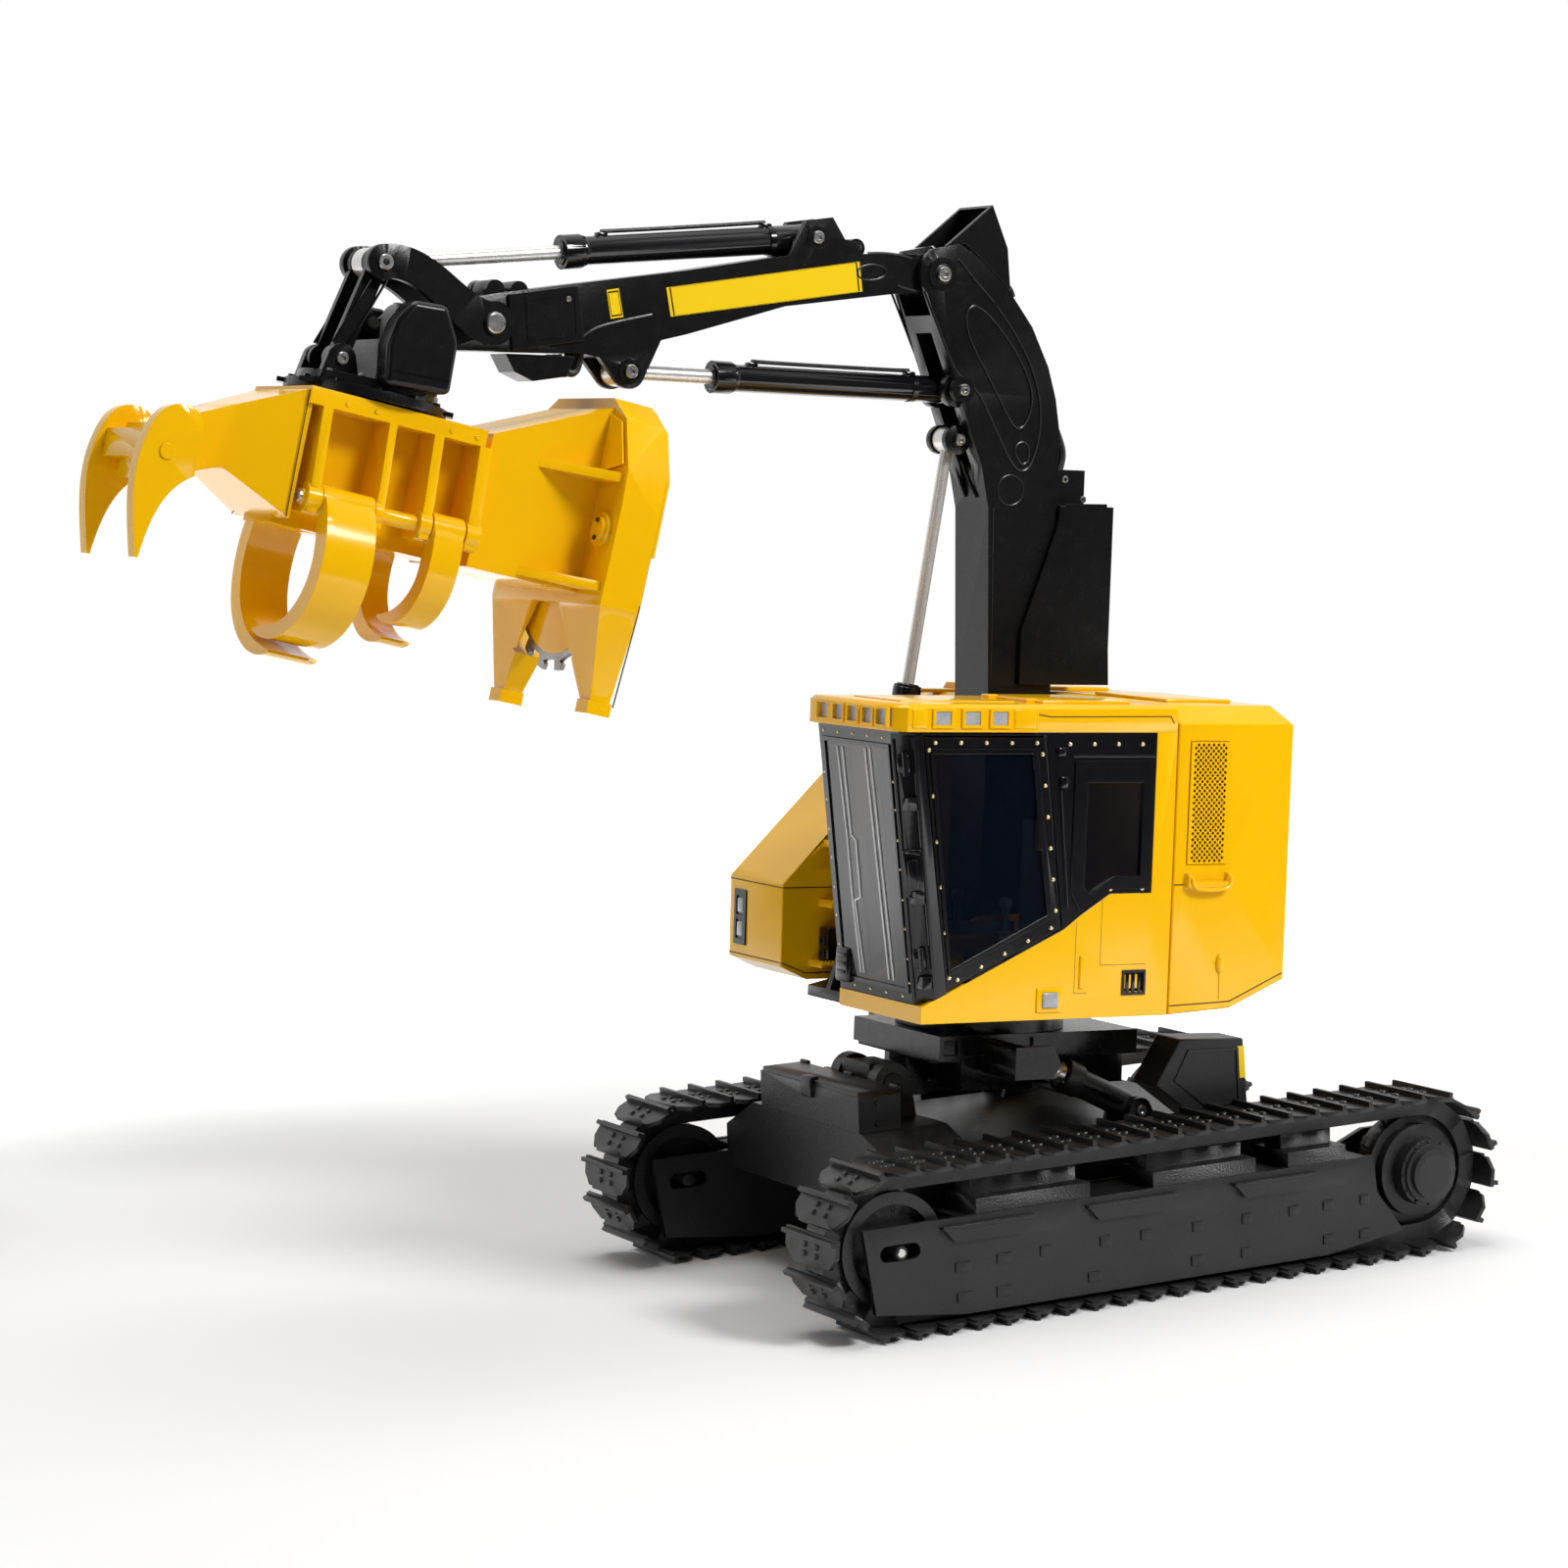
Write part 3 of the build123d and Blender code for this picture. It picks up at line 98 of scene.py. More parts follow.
def addSpread(tree, value, span, inputs=None, **settings):
    # maps a value from a span to nought and one, or to the ends among the inputs
    ends = {"Value": value, "From Min": span[0], "From Max": span[1], **(inputs or {})}
    return addNode(tree, "ShaderNodeMapRange", ends, **settings)["Result"]


def newMaterial(name):
    material = bpy.data.materials.new(name)
    material.use_nodes = True
    return material, material.node_tree, material.node_tree.nodes["Principled BSDF"]


# Studio: bright room behind, dark on the camera's side, three soft lights, and a floor of white paper
studio = {
    "roomFar": 0.95, "roomNear": 0.03, "roomSoft": 0.22, "farSide": (-0.49, -0.87, 0.0), "roomTurn": (-0.25, 0.35),
    "floorColour": (0.93, 0.93, 0.93, 1), "floorRough": 0.75, "floorRadius": 0.75, "floorMiddle": (-0.21, -0.37, 0.0),
    "paperFade": (0.20, 0.42),
    "lights": (("keyLight", (-0.50, 1.05, 0.95), (0.0, 0.0, 0.10), 0.42, 15.0),
               ("topLight", (0.05, -0.05, 1.35), (0.0, 0.0, 0.10), 0.9, 8.0),
               ("frontLight", (1.25, 0.25, 0.55), (0.0, 0.0, 0.12), 0.5, 0.7)),
}


def buildRoom(settings):
    # the camera sees plain white, mirrors see the bright and the dark side, dull faces an even light
    world = bpy.data.worlds.new("studioWorld")
    world.use_nodes = True
    tree = world.node_tree
    direction = addNode(tree, "ShaderNodeTexCoord")["Generated"]
    facing = addNode(tree, "ShaderNodeVectorMath", {0: direction, 1: settings["farSide"]}, operation="DOT_PRODUCT")
    room = addSpread(tree, facing["Value"], settings["roomTurn"],
                     {"To Min": settings["roomNear"], "To Max": settings["roomFar"]})
    seen = addNode(tree, "ShaderNodeLightPath")
    softened = addNode(tree, "ShaderNodeMix", {"Factor": seen["Is Diffuse Ray"], "A": room, "B": settings["roomSoft"]})
    chosen = addNode(tree, "ShaderNodeMix", {"Factor": seen["Is Camera Ray"], "A": softened["Result"], "B": 1.0})
    feed(tree, tree.nodes["Background"], {"Strength": chosen["Result"], "Color": (1, 1, 1, 1)})
    bpy.context.scene.world = world
    bpy.context.scene.view_settings.view_transform = "Standard"


def addStudio(settings):
    buildRoom(settings)
    for name, place, target, size, power in settings["lights"]:
        data = bpy.data.lights.new(name, "AREA")
        data.shape, data.size, data.energy = "DISK", size, power
        light = bpy.data.objects.new(name, data)
        light.location = place
        light.rotation_euler = (Vector(target) - Vector(place)).to_track_quat("-Z", "Y").to_euler()
        bpy.context.collection.objects.link(light)
    bm = bmesh.new()
    bmesh.ops.create_circle(bm, cap_ends=True, segments=96, radius=settings["floorRadius"],
                            matrix=Matrix.Translation(settings["floorMiddle"]))
    mesh = bpy.data.meshes.new("studioFloor")
    bm.to_mesh(mesh)
    bm.free()
    floor = bpy.data.objects.new("studioFloor", mesh)
    bpy.context.collection.objects.link(floor)
    material, tree, shader = newMaterial("floorPaper")
    # the paper runs out into plain white away from the model
    place = addNode(tree, "ShaderNodeTexCoord")["Object"]
    away = addNode(tree, "ShaderNodeVectorMath", {0: place}, operation="LENGTH")["Value"]
    fade = addSpread(tree, away, settings["paperFade"], interpolation_type="SMOOTHSTEP")
    feed(tree, shader, {"Base Color": settings["floorColour"], "Roughness": settings["floorRough"],
                        "Emission Color": (1, 1, 1, 1), "Emission Strength": fade})
    floor.data.materials.append(material)


addStudio(studio)
print("camera and studio set")


# Surface finish that all paints share: drifting colour, dust, gloss and grain
finishInputs = {
    "Colour": (0.8, 0.5, 0.0, 1), "Shade": (0.6, 0.35, 0.0, 1), "Drift Scale": 30.0, "Drift": 0.3, "Gloss Low": 0.2,
    "Gloss High": 0.35, "Grain Scale": 900.0, "Grain Depth": 0.05, "Dust": 0.0, "Dust Colour": (0.5, 0.48, 0.45, 1),
}
finishOutputs = {"Colour": "NodeSocketColor", "Roughness": "NodeSocketFloat", "Normal": "NodeSocketVector"}
finishMaking = {"driftDetail": 3.0, "driftSpan": (0.35, 0.7), "upSpan": (0.5, 1.0), "speckScale": 400.0,
                "speckDetail": 4.0, "speckSpan": (0.45, 0.75), "grainDetail": 2.0, "grainHeight": 0.0004}


def buildFinishGroup(inputs, outputs, settings):
    group = bpy.data.node_groups.new("paintFinish", "ShaderNodeTree")
    for name, value in inputs.items():
        kind = "NodeSocketColor" if isinstance(value, tuple) else "NodeSocketFloat"
        group.interface.new_socket(name=name, in_out="INPUT", socket_type=kind).default_value = value
    for name, kind in outputs.items():
        group.interface.new_socket(name=name, in_out="OUTPUT", socket_type=kind)
    fed = addNode(group, "NodeGroupInput")
    place = addNode(group, "ShaderNodeTexCoord")["Object"]
    drift = addNode(group, "ShaderNodeTexNoise", {"Detail": settings["driftDetail"], "Vector": place,
                                                  "Scale": fed["Drift Scale"]})["Fac"]
    drifted = addSpread(group, drift, settings["driftSpan"], {"To Max": fed["Drift"]})
    tint = addNode(group, "ShaderNodeMix", {"Factor": drifted, "A": fed["Colour"], "B": fed["Shade"]}, data_type="RGBA")
    # dust settles on faces that look up
    normal = addNode(group, "ShaderNodeNewGeometry")["Normal"]
    apart = addNode(group, "ShaderNodeSeparateXYZ", {"Vector": normal})
    upward = addSpread(group, apart["Z"], settings["upSpan"])
    specks = addNode(group, "ShaderNodeTexNoise", {"Scale": settings["speckScale"], "Detail": settings["speckDetail"],
                                                   "Vector": place})["Fac"]
    speckled = addSpread(group, specks, settings["speckSpan"])
    settled = addNode(group, "ShaderNodeMath", {0: upward, 1: speckled}, operation="MULTIPLY")["Value"]
    amount = addNode(group, "ShaderNodeMath", {0: settled, 1: fed["Dust"]}, operation="MULTIPLY")["Value"]
    dusted = addNode(group, "ShaderNodeMix", {"Factor": amount, "A": tint["Result"], "B": fed["Dust Colour"]},
                     data_type="RGBA")
    gloss = addNode(group, "ShaderNodeMapRange", {"Value": specks, "To Min": fed["Gloss Low"],
                                                  "To Max": fed["Gloss High"]})
    grain = addNode(group, "ShaderNodeTexNoise", {"Detail": settings["grainDetail"], "Vector": place,
                                                  "Scale": fed["Grain Scale"]})["Fac"]
    bump = addNode(group, "ShaderNodeBump", {"Distance": settings["grainHeight"], "Height": grain,
                                             "Strength": fed["Grain Depth"]})
    addNode(group, "NodeGroupOutput", {"Colour": dusted["Result"], "Roughness": gloss["Result"],
                                       "Normal": bump["Normal"]})
    return group


finishGroup = buildFinishGroup(finishInputs, finishOutputs, finishMaking)

# Each finish: the group's inputs in this order, then what else differs
finishOrder = ("Colour", "Shade", "Drift Scale", "Drift", "Gloss Low", "Gloss High", "Grain Scale", "Grain Depth")
finishes = {
    "yellowEnamel": ((0.90, 0.49, 0.001), (0.85, 0.44, 0.001), 18.0, 0.5, 0.10, 0.18, 700.0, 0.03, {"shine": 0.4}),
    "blackEnamel": ((0.0045, 0.0045, 0.005), (0.008, 0.008, 0.009), 40.0, 0.6, 0.20, 0.32, 1500.0, 0.06,
                    {"Dust": 0.03, "Dust Colour": (0.10, 0.10, 0.10), "shine": 0.4}),
    "blackGloss": ((0.004, 0.004, 0.005), (0.007, 0.007, 0.008), 60.0, 0.5, 0.12, 0.22, 1200.0, 0.03,
                   {"shine": 0.45, "coat": 0.15}),
    "undercarriageBlack": ((0.010, 0.010, 0.0105), (0.018, 0.018, 0.019), 60.0, 0.7, 0.30, 0.46, 2600.0, 0.22,
                           {"Dust": 0.06, "Dust Colour": (0.12, 0.12, 0.12), "shine": 0.45}),
    "platedRod": ((0.80, 0.79, 0.77), (0.70, 0.69, 0.68), 50.0, 0.5, 0.22, 0.34, 3000.0, 0.03, {"metal": 0.6}),
    "pinSteel": ((0.72, 0.71, 0.69), (0.55, 0.54, 0.52), 200.0, 0.7, 0.22, 0.36, 3000.0, 0.10, {"metal": 1.0}),
    "sawSteel": ((0.42, 0.41, 0.40), (0.26, 0.24, 0.22), 120.0, 0.8, 0.28, 0.5, 2000.0, 0.15, {"metal": 1.0}),
    "brassRivet": ((0.90, 0.76, 0.44), (0.78, 0.60, 0.28), 80.0, 0.5, 0.20, 0.32, 2500.0, 0.04, {"metal": 0.8}),
    "lampLens": ((0.40, 0.41, 0.43), (0.30, 0.31, 0.33), 220.0, 0.9, 0.10, 0.2, 1400.0, 0.5, {"coat": 0.6}),
    "seatPlastic": ((0.085, 0.088, 0.095), (0.12, 0.125, 0.135), 90.0, 0.6, 0.5, 0.7, 3500.0, 0.4, {}),
    "hoseRubber": ((0.009, 0.009, 0.009), (0.018, 0.018, 0.018), 150.0, 0.5, 0.30, 0.46, 3000.0, 0.35, {}),
    "plateYellow": ((0.88, 0.60, 0.005), (0.84, 0.55, 0.004), 60.0, 0.4, 0.25, 0.36, 1200.0, 0.04, {"shine": 0.3}),
    # painted shade: the dark brown of the yellow paint in shadow, for seam grooves and the inside behind the grille
    "paintedShadeBrown": ((0.085, 0.030, 0.004), (0.050, 0.018, 0.003), 90.0, 0.8, 0.6, 0.8, 2500.0, 0.2, {}),
    "clearRib": ((0.90, 0.90, 0.91), (0.80, 0.81, 0.82), 90.0, 0.6, 0.12, 0.22, 1500.0, 0.04, {"coat": 0.5}),
}
coatRoughness = 0.08


def makePaint(name, values):
    material, tree, shader = newMaterial(name)
    spec = {**dict(zip(finishOrder, values)), **values[-1]}
    finish = tree.nodes.new("ShaderNodeGroup")
    finish.node_tree = finishGroup
    feed(tree, finish, {key: (*value, 1) if isinstance(value, tuple) else value for key, value in spec.items()
                        if key in finishInputs})
    feed(tree, shader, {"Base Color": finish.outputs["Colour"], "Roughness": finish.outputs["Roughness"],
                        "Normal": finish.outputs["Normal"], "Metallic": spec.get("metal", 0.0),
                        "Specular IOR Level": spec.get("shine", 0.5), "Coat Weight": spec.get("coat", 0.0),
                        "Coat Roughness": coatRoughness})
    return material


paints = {name: makePaint(name, values) for name, values in finishes.items()}

glassSettings = {"cabGlass": {"tint": (0.002, 0.005, 0.012), "cover": 0.50, "ior": 1.6},
                 "shieldGlass": {"tint": (0.030, 0.031, 0.033), "cover": 0.70, "ior": 1.8}}
glassHaze = {"scale": 60.0, "low": 0.03, "high": 0.09}


def makeGlass(name, spec):
    material, tree, shader = newMaterial(name)
    place = addNode(tree, "ShaderNodeTexCoord")["Object"]
    haze = addNode(tree, "ShaderNodeTexNoise", {"Scale": glassHaze["scale"], "Vector": place})["Fac"]
    rough = addNode(tree, "ShaderNodeMapRange", {"Value": haze, "To Min": glassHaze["low"],
                                                 "To Max": glassHaze["high"]})
    feed(tree, shader, {"Roughness": rough["Result"], "Base Color": (*spec["tint"], 1), "Alpha": spec["cover"],
                        "IOR": spec["ior"]})
    return material


for name, spec in glassSettings.items():
    paints[name] = makeGlass(name, spec)
print("finishes made:", len(paints))


# Making pieces
pinHead = {"rim": 0.12, "rise": 0.10, "socket": 0.45, "deepest": 0.8, "deep": 0.5}


def turnTo(out):
    return Vector(out).to_track_quat("Z", "Y").to_matrix().to_4x4()


def onSide(points, y):
    return [(x, y, z) for x, z in points]


def onCircle(radius, angle):
    return radius * math.cos(angle), radius * math.sin(angle)


def pushOut(bm, faces, push):
    grown = bmesh.ops.extrude_face_region(bm, geom=faces, use_keep_orig=True)
    bmesh.ops.translate(bm, vec=Vector(push), verts=[g for g in grown["geom"] if isinstance(g, bmesh.types.BMVert)])


def addBox(bm, low, high):
    middle = [(a + b) / 2 for a, b in zip(low, high)]
    size = [b - a for a, b in zip(low, high)]
    return bmesh.ops.create_cube(bm, size=1, matrix=Matrix.Translation(middle) @ Matrix.Diagonal((*size, 1)))["verts"]


def addRoundBox(bm, low, high, radius, segments=3):
    verts = addBox(bm, low, high)
    edges = list({e for v in verts for e in v.link_edges})
    bmesh.ops.bevel(bm, geom=edges, affect="EDGES", offset=radius, segments=segments, profile=0.5, material=-1)


def addRod(bm, start, end, radius, endRadius=None, segments=24):
    start, end = Vector(start), Vector(end)
    return bmesh.ops.create_cone(bm, cap_ends=True, segments=segments, radius1=radius,
                                 radius2=radius if endRadius is None else endRadius, depth=(end - start).length,
                                 matrix=Matrix.Translation((start + end) / 2) @ turnTo(end - start))["verts"]


def addPlate(bm, corners, push):
    # flat outline of corners, pushed out along a vector
    pushOut(bm, [bm.faces.new([bm.verts.new(c) for c in corners])], push)


def addRing(bm, outer, inner, push):
    # flat frame between two outlines of as many corners, pushed out along a vector
    outside = [bm.verts.new(c) for c in outer]
    inside = [bm.verts.new(c) for c in inner]
    faces = []
    for k in range(len(outside)):
        n = (k + 1) % len(outside)
        faces.append(bm.faces.new((outside[k], outside[n], inside[n], inside[k])))
    pushOut(bm, faces, push)


def addSurround(bm, facing, at, outer, inner, depth):
    # rectangular frame on the plane x = at or y = at, each rectangle low and high across and low and high in z
    outlines = []
    for a0, a1, z0, z1 in (outer, inner):
        corners = ((a0, z0), (a1, z0), (a1, z1), (a0, z1))
        outlines.append([(at, a, z) if facing == "x" else (a, at, z) for a, z in corners])
    addRing(bm, *outlines, (depth, 0, 0) if facing == "x" else (0, depth, 0))


def addStrip(bm, points, width, out, height=0.05):
    # narrow flat line along points on a flat face that looks along out
    out = Vector(out).normalized()
    for start, end in zip(points, points[1:]):
        start, end = Vector(start), Vector(end)
        side = (end - start).cross(out).normalized() * width / 2
        reach = (end - start).normalized() * width / 2
        addPlate(bm, [start - reach + side, end + reach + side, end + reach - side, start - reach - side], out * height)


def addTube(bm, points, radius, closed=False, straight=False, roundness=2):
    data = bpy.data.curves.new("path", "CURVE")
    data.dimensions = "3D"
    data.bevel_depth, data.bevel_resolution, data.resolution_u = radius, roundness, 5
    data.use_fill_caps = not closed
    spline = data.splines.new("POLY" if straight else "NURBS")
    spline.points.add(len(points) - 1)
    for point, place in zip(spline.points, points):
        point.co = (*place, 1)
    spline.use_cyclic_u = closed
    if not straight:
        spline.order_u = 3
        spline.use_endpoint_u = not closed
    holder = bpy.data.objects.new("path", data)
    mesh = bpy.data.meshes.new_from_object(holder)
    bm.from_mesh(mesh)
    bpy.data.objects.remove(holder)
    bpy.data.curves.remove(data)
    bpy.data.meshes.remove(mesh)


def addDome(bm, at, out, radius, height):
    place = Matrix.Translation(at) @ turnTo(out) @ Matrix.Diagonal((radius, radius, height, 1))
    bmesh.ops.create_uvsphere(bm, u_segments=10, v_segments=6, radius=1, matrix=place)


def addPinHead(bm, at, out, radius, height, socket=pinHead["socket"]):
    # turned pin head with a rounded rim and a socket
    out = Vector(out).normalized()
    verts = addRod(bm, at, Vector(at) + out * height, radius)
    caps = {f for v in verts for f in v.link_faces if len(f.verts) > 4}
    cap = max(caps, key=lambda f: f.calc_center_median().dot(out))
    bmesh.ops.inset_region(bm, faces=[cap], thickness=radius * pinHead["rim"], depth=radius * pinHead["rise"])
    if socket:
        bmesh.ops.inset_region(bm, faces=[cap], thickness=radius * (1 - pinHead["rim"] - socket))
        deep = bmesh.ops.extrude_discrete_faces(bm, faces=[cap])["faces"][0]
        bmesh.ops.translate(bm, verts=deep.verts, vec=-out * min(height * pinHead["deepest"], radius * pinHead["deep"]))


def addPiece(name, bm, place, body, paint, nodes=(), bevel=0.0, segments=2, crease=35.0):
    bmesh.ops.remove_doubles(bm, verts=bm.verts, dist=1e-4)
    bmesh.ops.transform(bm, matrix=place, verts=bm.verts)
    bmesh.ops.recalc_face_normals(bm, faces=bm.faces)
    mesh = bpy.data.meshes.new(name)
    bm.to_mesh(mesh)
    bm.free()
    finishPiece(name, mesh, body, paint, nodes, bevel, segments, crease)


def finishPiece(name, mesh, body, paint, nodes, bevel, segments, crease):
    piece = bpy.data.objects.new(name, mesh)
    bpy.context.collection.objects.link(piece)
    mesh.materials.clear()
    mesh.materials.append(paints[paint])
    mesh.shade_smooth()
    mesh.set_sharp_from_angle(angle=math.radians(crease))
    if bevel:
        rounding = piece.modifiers.new("rounding", "BEVEL")
        rounding.width = bevel * 0.001
        rounding.segments = segments
        rounding.limit_method = "ANGLE"
        rounding.angle_limit = math.radians(crease)
        rounding.harden_normals = True
    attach(piece, body)
    if nodes:
        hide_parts(*nodes)


bodyOf = {node: body for body, names in frame["record"]["behaviour"]["bodies"].items() for node in names}
copies = {"weld": 2e-6, "crease": 32.0, "trackSide": 0.05012}


def roundNode(node, paint, bevel, segments=2, flushAt=None):
    # a copy of a solid with its edges broken, as cast and painted metal has them
    bm = bmesh.new()
    bm.from_mesh(frame["nodes"][node].data)
    bmesh.ops.remove_doubles(bm, verts=bm.verts, dist=copies["weld"])
    if flushAt:
        bmesh.ops.bisect_plane(bm, geom=[*bm.verts, *bm.edges, *bm.faces], plane_co=(0, flushAt, 0),
                               plane_no=(0, math.copysign(1, flushAt), 0), clear_outer=True)
        bmesh.ops.holes_fill(bm, edges=[e for e in bm.edges if e.is_boundary], sides=0)
    mesh = bpy.data.meshes.new(node + "_body")
    bm.to_mesh(mesh)
    bm.free()
    finishPiece(node + "_body", mesh, bodyOf[node], paint, (node,), bevel, segments, copies["crease"])


rounded = {
    "yellowEnamel": {"cab_base": 0.12, "cab_roof": 0.25, "engine_module": 0.45, "right_enclosure": 0.35,
                     "head_frame": 0.25, "saw_housing": 0.25, "saw_bottom_cover": 0.2, "grab_arm_left": 0.3,
                     "grab_arm_right": 0.3, "holding_arm_left": 0.25, "holding_arm_right": 0.25},
    "blackEnamel": {"boom": 0.25, "boom_cowl": 0.15, "boom_hose_guard": 0.2, "stick": 0.25, "stick_guard": 0.15,
                    "wrist_arms": 0.3, "wrist_links": 0.2, "wrist": 0.2, "upper_deck": 0.2, "tilt_frame": 0.25,
                    "slew_ring": 0.2},
    "blackGloss": {"cab_frame": 0.12, "cab_door": 0.12, "lift_barrel": 0.15, "stick_barrel": 0.15,
                   "wrist_barrel": 0.15},
    "undercarriageBlack": {"carbody": 0.3, "storage_box": 0.25, "rear_boxes": 0.35, "levelling_cross": 0.2,
                           "levelling_barrel_left": 0.15, "levelling_barrel_right": 0.15, "idlers": 0.2,
                           "sprockets": 0.2},
    "seatPlastic": {"cab_seat": 0.6},
}
for paint, nodes in rounded.items():
    for node, bevel in nodes.items():
        roundNode(node, paint, bevel)
roundNode("track_frame_left", "undercarriageBlack", 0.15, flushAt=copies["trackSide"])
roundNode("track_frame_right", "undercarriageBlack", 0.15, flushAt=-copies["trackSide"])
for node in ("track_left", "track_right"):
    roundNode(node, "undercarriageBlack", 0.1, 1)

# Solids that show as they are
kept = {"lift_rod": "platedRod", "stick_rod": "platedRod", "wrist_rod": "platedRod", "levelling_rod_left": "platedRod",
        "levelling_rod_right": "platedRod", "windshield": "shieldGlass", "side_windows": "cabGlass",
        "door_glass": "cabGlass", "roof_lamps": "lampLens"}
for node, paint in kept.items():
    for holder in frame["nodes"][node].material_slots:
        holder.material = paints[paint]
print("solids dressed")


# Cab: rivets round the windows, gaskets, ribs in the windshield
cab = {
    "side": 46.0, "rivet": (0.46, 0.34), "shieldRivet": (0.34, 0.26), "edgeRivet": (0.32, 0.24),
    "doorRows": (((56.9, 111.4), (50.5, 67.4), 6), ((55.6, 112.8), (32.4, 112.8), 5), ((31.0, 110.6), (26.6, 80.0), 6),
                 ((27.5, 76.6), (48.6, 67.0), 5)),
    "frameRows": (((24.7, 112.6), (7.6, 112.6), 4), ((21.6, 107.4), (6.6, 107.4), 4), ((5.4, 105.6), (5.4, 86.2), 7),
                  ((21.9, 101.5), (20.6, 85.2), 5)),
    "frameSingles": ((19.6, 81.5), (13.9, 84.0), (6.4, 84.0)),
    "shieldRows": ((63.3, (21.0, 27.0, 33.0, 39.2)), (113.4, (17.0, 22.6, 28.2, 33.8, 39.4))),
    "edgeRows": ((42.0, 16.1), (105.1, 99.7, 93.8, 88.2, 82.3, 76.7, 70.9, 66.2)),
    "rearGlass": ((20.3, 105.0), (7.2, 105.0), (7.2, 86.6), (13.4, 86.6), (18.8, 83.2), (20.3, 84.6)),
    "rearFrame": ((23.4, 109.4), (5.0, 109.4), (5.0, 84.0), (14.2, 84.0), (21.2, 79.9), (23.4, 83.6)),
    "doorGlass": ((50.8, 67.9), (56.9, 111.7), (32.4, 111.7), (27.4, 78.7)),
    "doorGasket": ((50.4, 69.1), (55.9, 110.6), (33.3, 110.6), (28.7, 79.2)),
    "shieldOuter": ((16.6, 64.1), (42.0, 64.1), (42.0, 112.3), (16.6, 112.3)),
    "shieldInner": ((17.5, 65.1), (41.1, 65.1), (41.1, 111.4), (17.5, 111.4)),
    "doorEdgeBlocks": (((25.2, 45.9, 104.0), (26.9, 46.8, 106.4)), ((26.0, 45.9, 110.2), (27.8, 46.8, 112.0))),
    "ribs": (((21.9, 110.6), (22.9, 93.2), (23.0, 80.6), (23.9, 66.2)),
             ((23.9, 110.6), (24.6, 93.4), (26.2, 92.4), (26.2, 81.2), (23.9, 80.4), (25.1, 66.2)),
             ((32.6, 111.0), (34.6, 66.0)), ((34.4, 111.0), (36.3, 66.0))),
    "foot": (56.4, 62.0), "top": (63.7, 114.9), "shieldOut": (52.9, 0, -7.3),
}


def shieldX(z):
    (x0, z0), (x1, z1) = cab["foot"], cab["top"]
    return x0 + (x1 - x0) * (z - z0) / (z1 - z0)


def onShield(points, out=0.0):
    return [(shieldX(z) + out, y, z) for y, z in points]


def rowPoints(rows):
    for (x0, z0), (x1, z1), count in rows:
        for k in range(count):
            t = k / (count - 1)
            yield x0 + (x1 - x0) * t, z0 + (z1 - z0) * t


def rivetSide(points):
    bm = bmesh.new()
    for x, z in points:
        addDome(bm, (x, cab["side"], z), (0, 1, 0), *cab["rivet"])
    return bm


bm = rivetSide(rowPoints(cab["doorRows"]))
addPiece("door_rivets", bm, levelPlace, "door", "brassRivet", crease=60)
bm = rivetSide([*rowPoints(cab["frameRows"]), *cab["frameSingles"]])
for z, places in cab["shieldRows"]:
    for y in places:
        addDome(bm, (shieldX(z), y, z), cab["shieldOut"], *cab["shieldRivet"])
for z in cab["edgeRows"][1]:
    for y in cab["edgeRows"][0]:
        addDome(bm, (shieldX(z), y, z), cab["shieldOut"], *cab["edgeRivet"])
addPiece("cab_rivets", bm, levelPlace, "upper", "brassRivet", crease=60)

bm = bmesh.new()
addRing(bm, onSide(cab["doorGlass"], 45.9), onSide(cab["doorGasket"], 45.9), (0, 0.45, 0))
addPiece("door_gasket", bm, levelPlace, "door", "blackGloss", bevel=0.12)

bm = bmesh.new()
addRing(bm, onSide(cab["rearFrame"], 45.2), onSide(cab["rearGlass"], 45.2), (0, 1.15, 0))
addTube(bm, onSide([(23.9, 110.2), (4.6, 110.2)], cab["side"]), 0.35, straight=True)
addTube(bm, onSide([(24.0, 80.4), (26.6, 103.6)], cab["side"]), 0.35, straight=True)
for low, high in cab["doorEdgeBlocks"]:
    addRoundBox(bm, low, high, 0.35)
addRing(bm, onShield(cab["shieldOuter"]), onShield(cab["shieldInner"]), (0.35, 0, -0.05))
addPiece("window_gaskets", bm, levelPlace, "upper", "blackGloss", bevel=0.12)

bm = bmesh.new()
for points in cab["ribs"]:
    addTube(bm, onShield(points, 0.12), 0.21, straight=True, roundness=1)
addPiece("windshield_ribs", bm, levelPlace, "upper", "clearRib")

# Corner post's hinges and handle in its own frame: z up the post, x outward, y towards the side
post = {"inward": 1.7, "side": 44.3, "foot": 62.0, "knuckles": ((47.2, 3.6), (9.2, 3.6)), "handle": (21.0, 30.6),
        "ridge": 1.9, "ridgeTo": 52.0}
postUp = Vector((7.3, 0, 52.9)).normalized()
postOut = Vector((1, 1, 0))
postOut = (postOut - postUp * postOut.dot(postUp)).normalized()
postFoot = (shieldX(post["foot"]) - post["inward"], post["side"], post["foot"])
postTurn = Matrix((postOut, postUp.cross(postOut), postUp)).transposed().to_4x4()
postPlace = levelPlace @ Matrix.Translation(postFoot) @ postTurn
bm = bmesh.new()
for middle, size in post["knuckles"]:
    addRoundBox(bm, (-0.3, -1.5, middle - size / 2), (0.9, 1.0, middle + size / 2), 0.4)
    addRod(bm, (0.8, 0.2, middle - size / 2 - 0.5), (0.8, 0.2, middle + size / 2 + 0.5), 0.55, segments=12)
low, high = post["handle"]
addRoundBox(bm, (-0.3, -1.9, low), (0.6, 1.9, high), 0.5)
addTube(bm, [(0.3, -1.2, high - 0.6), (1.3, -0.6, high - 0.4), (1.4, 0.6, high - 0.5), (0.4, 1.4, high - 1.0)], 0.32)
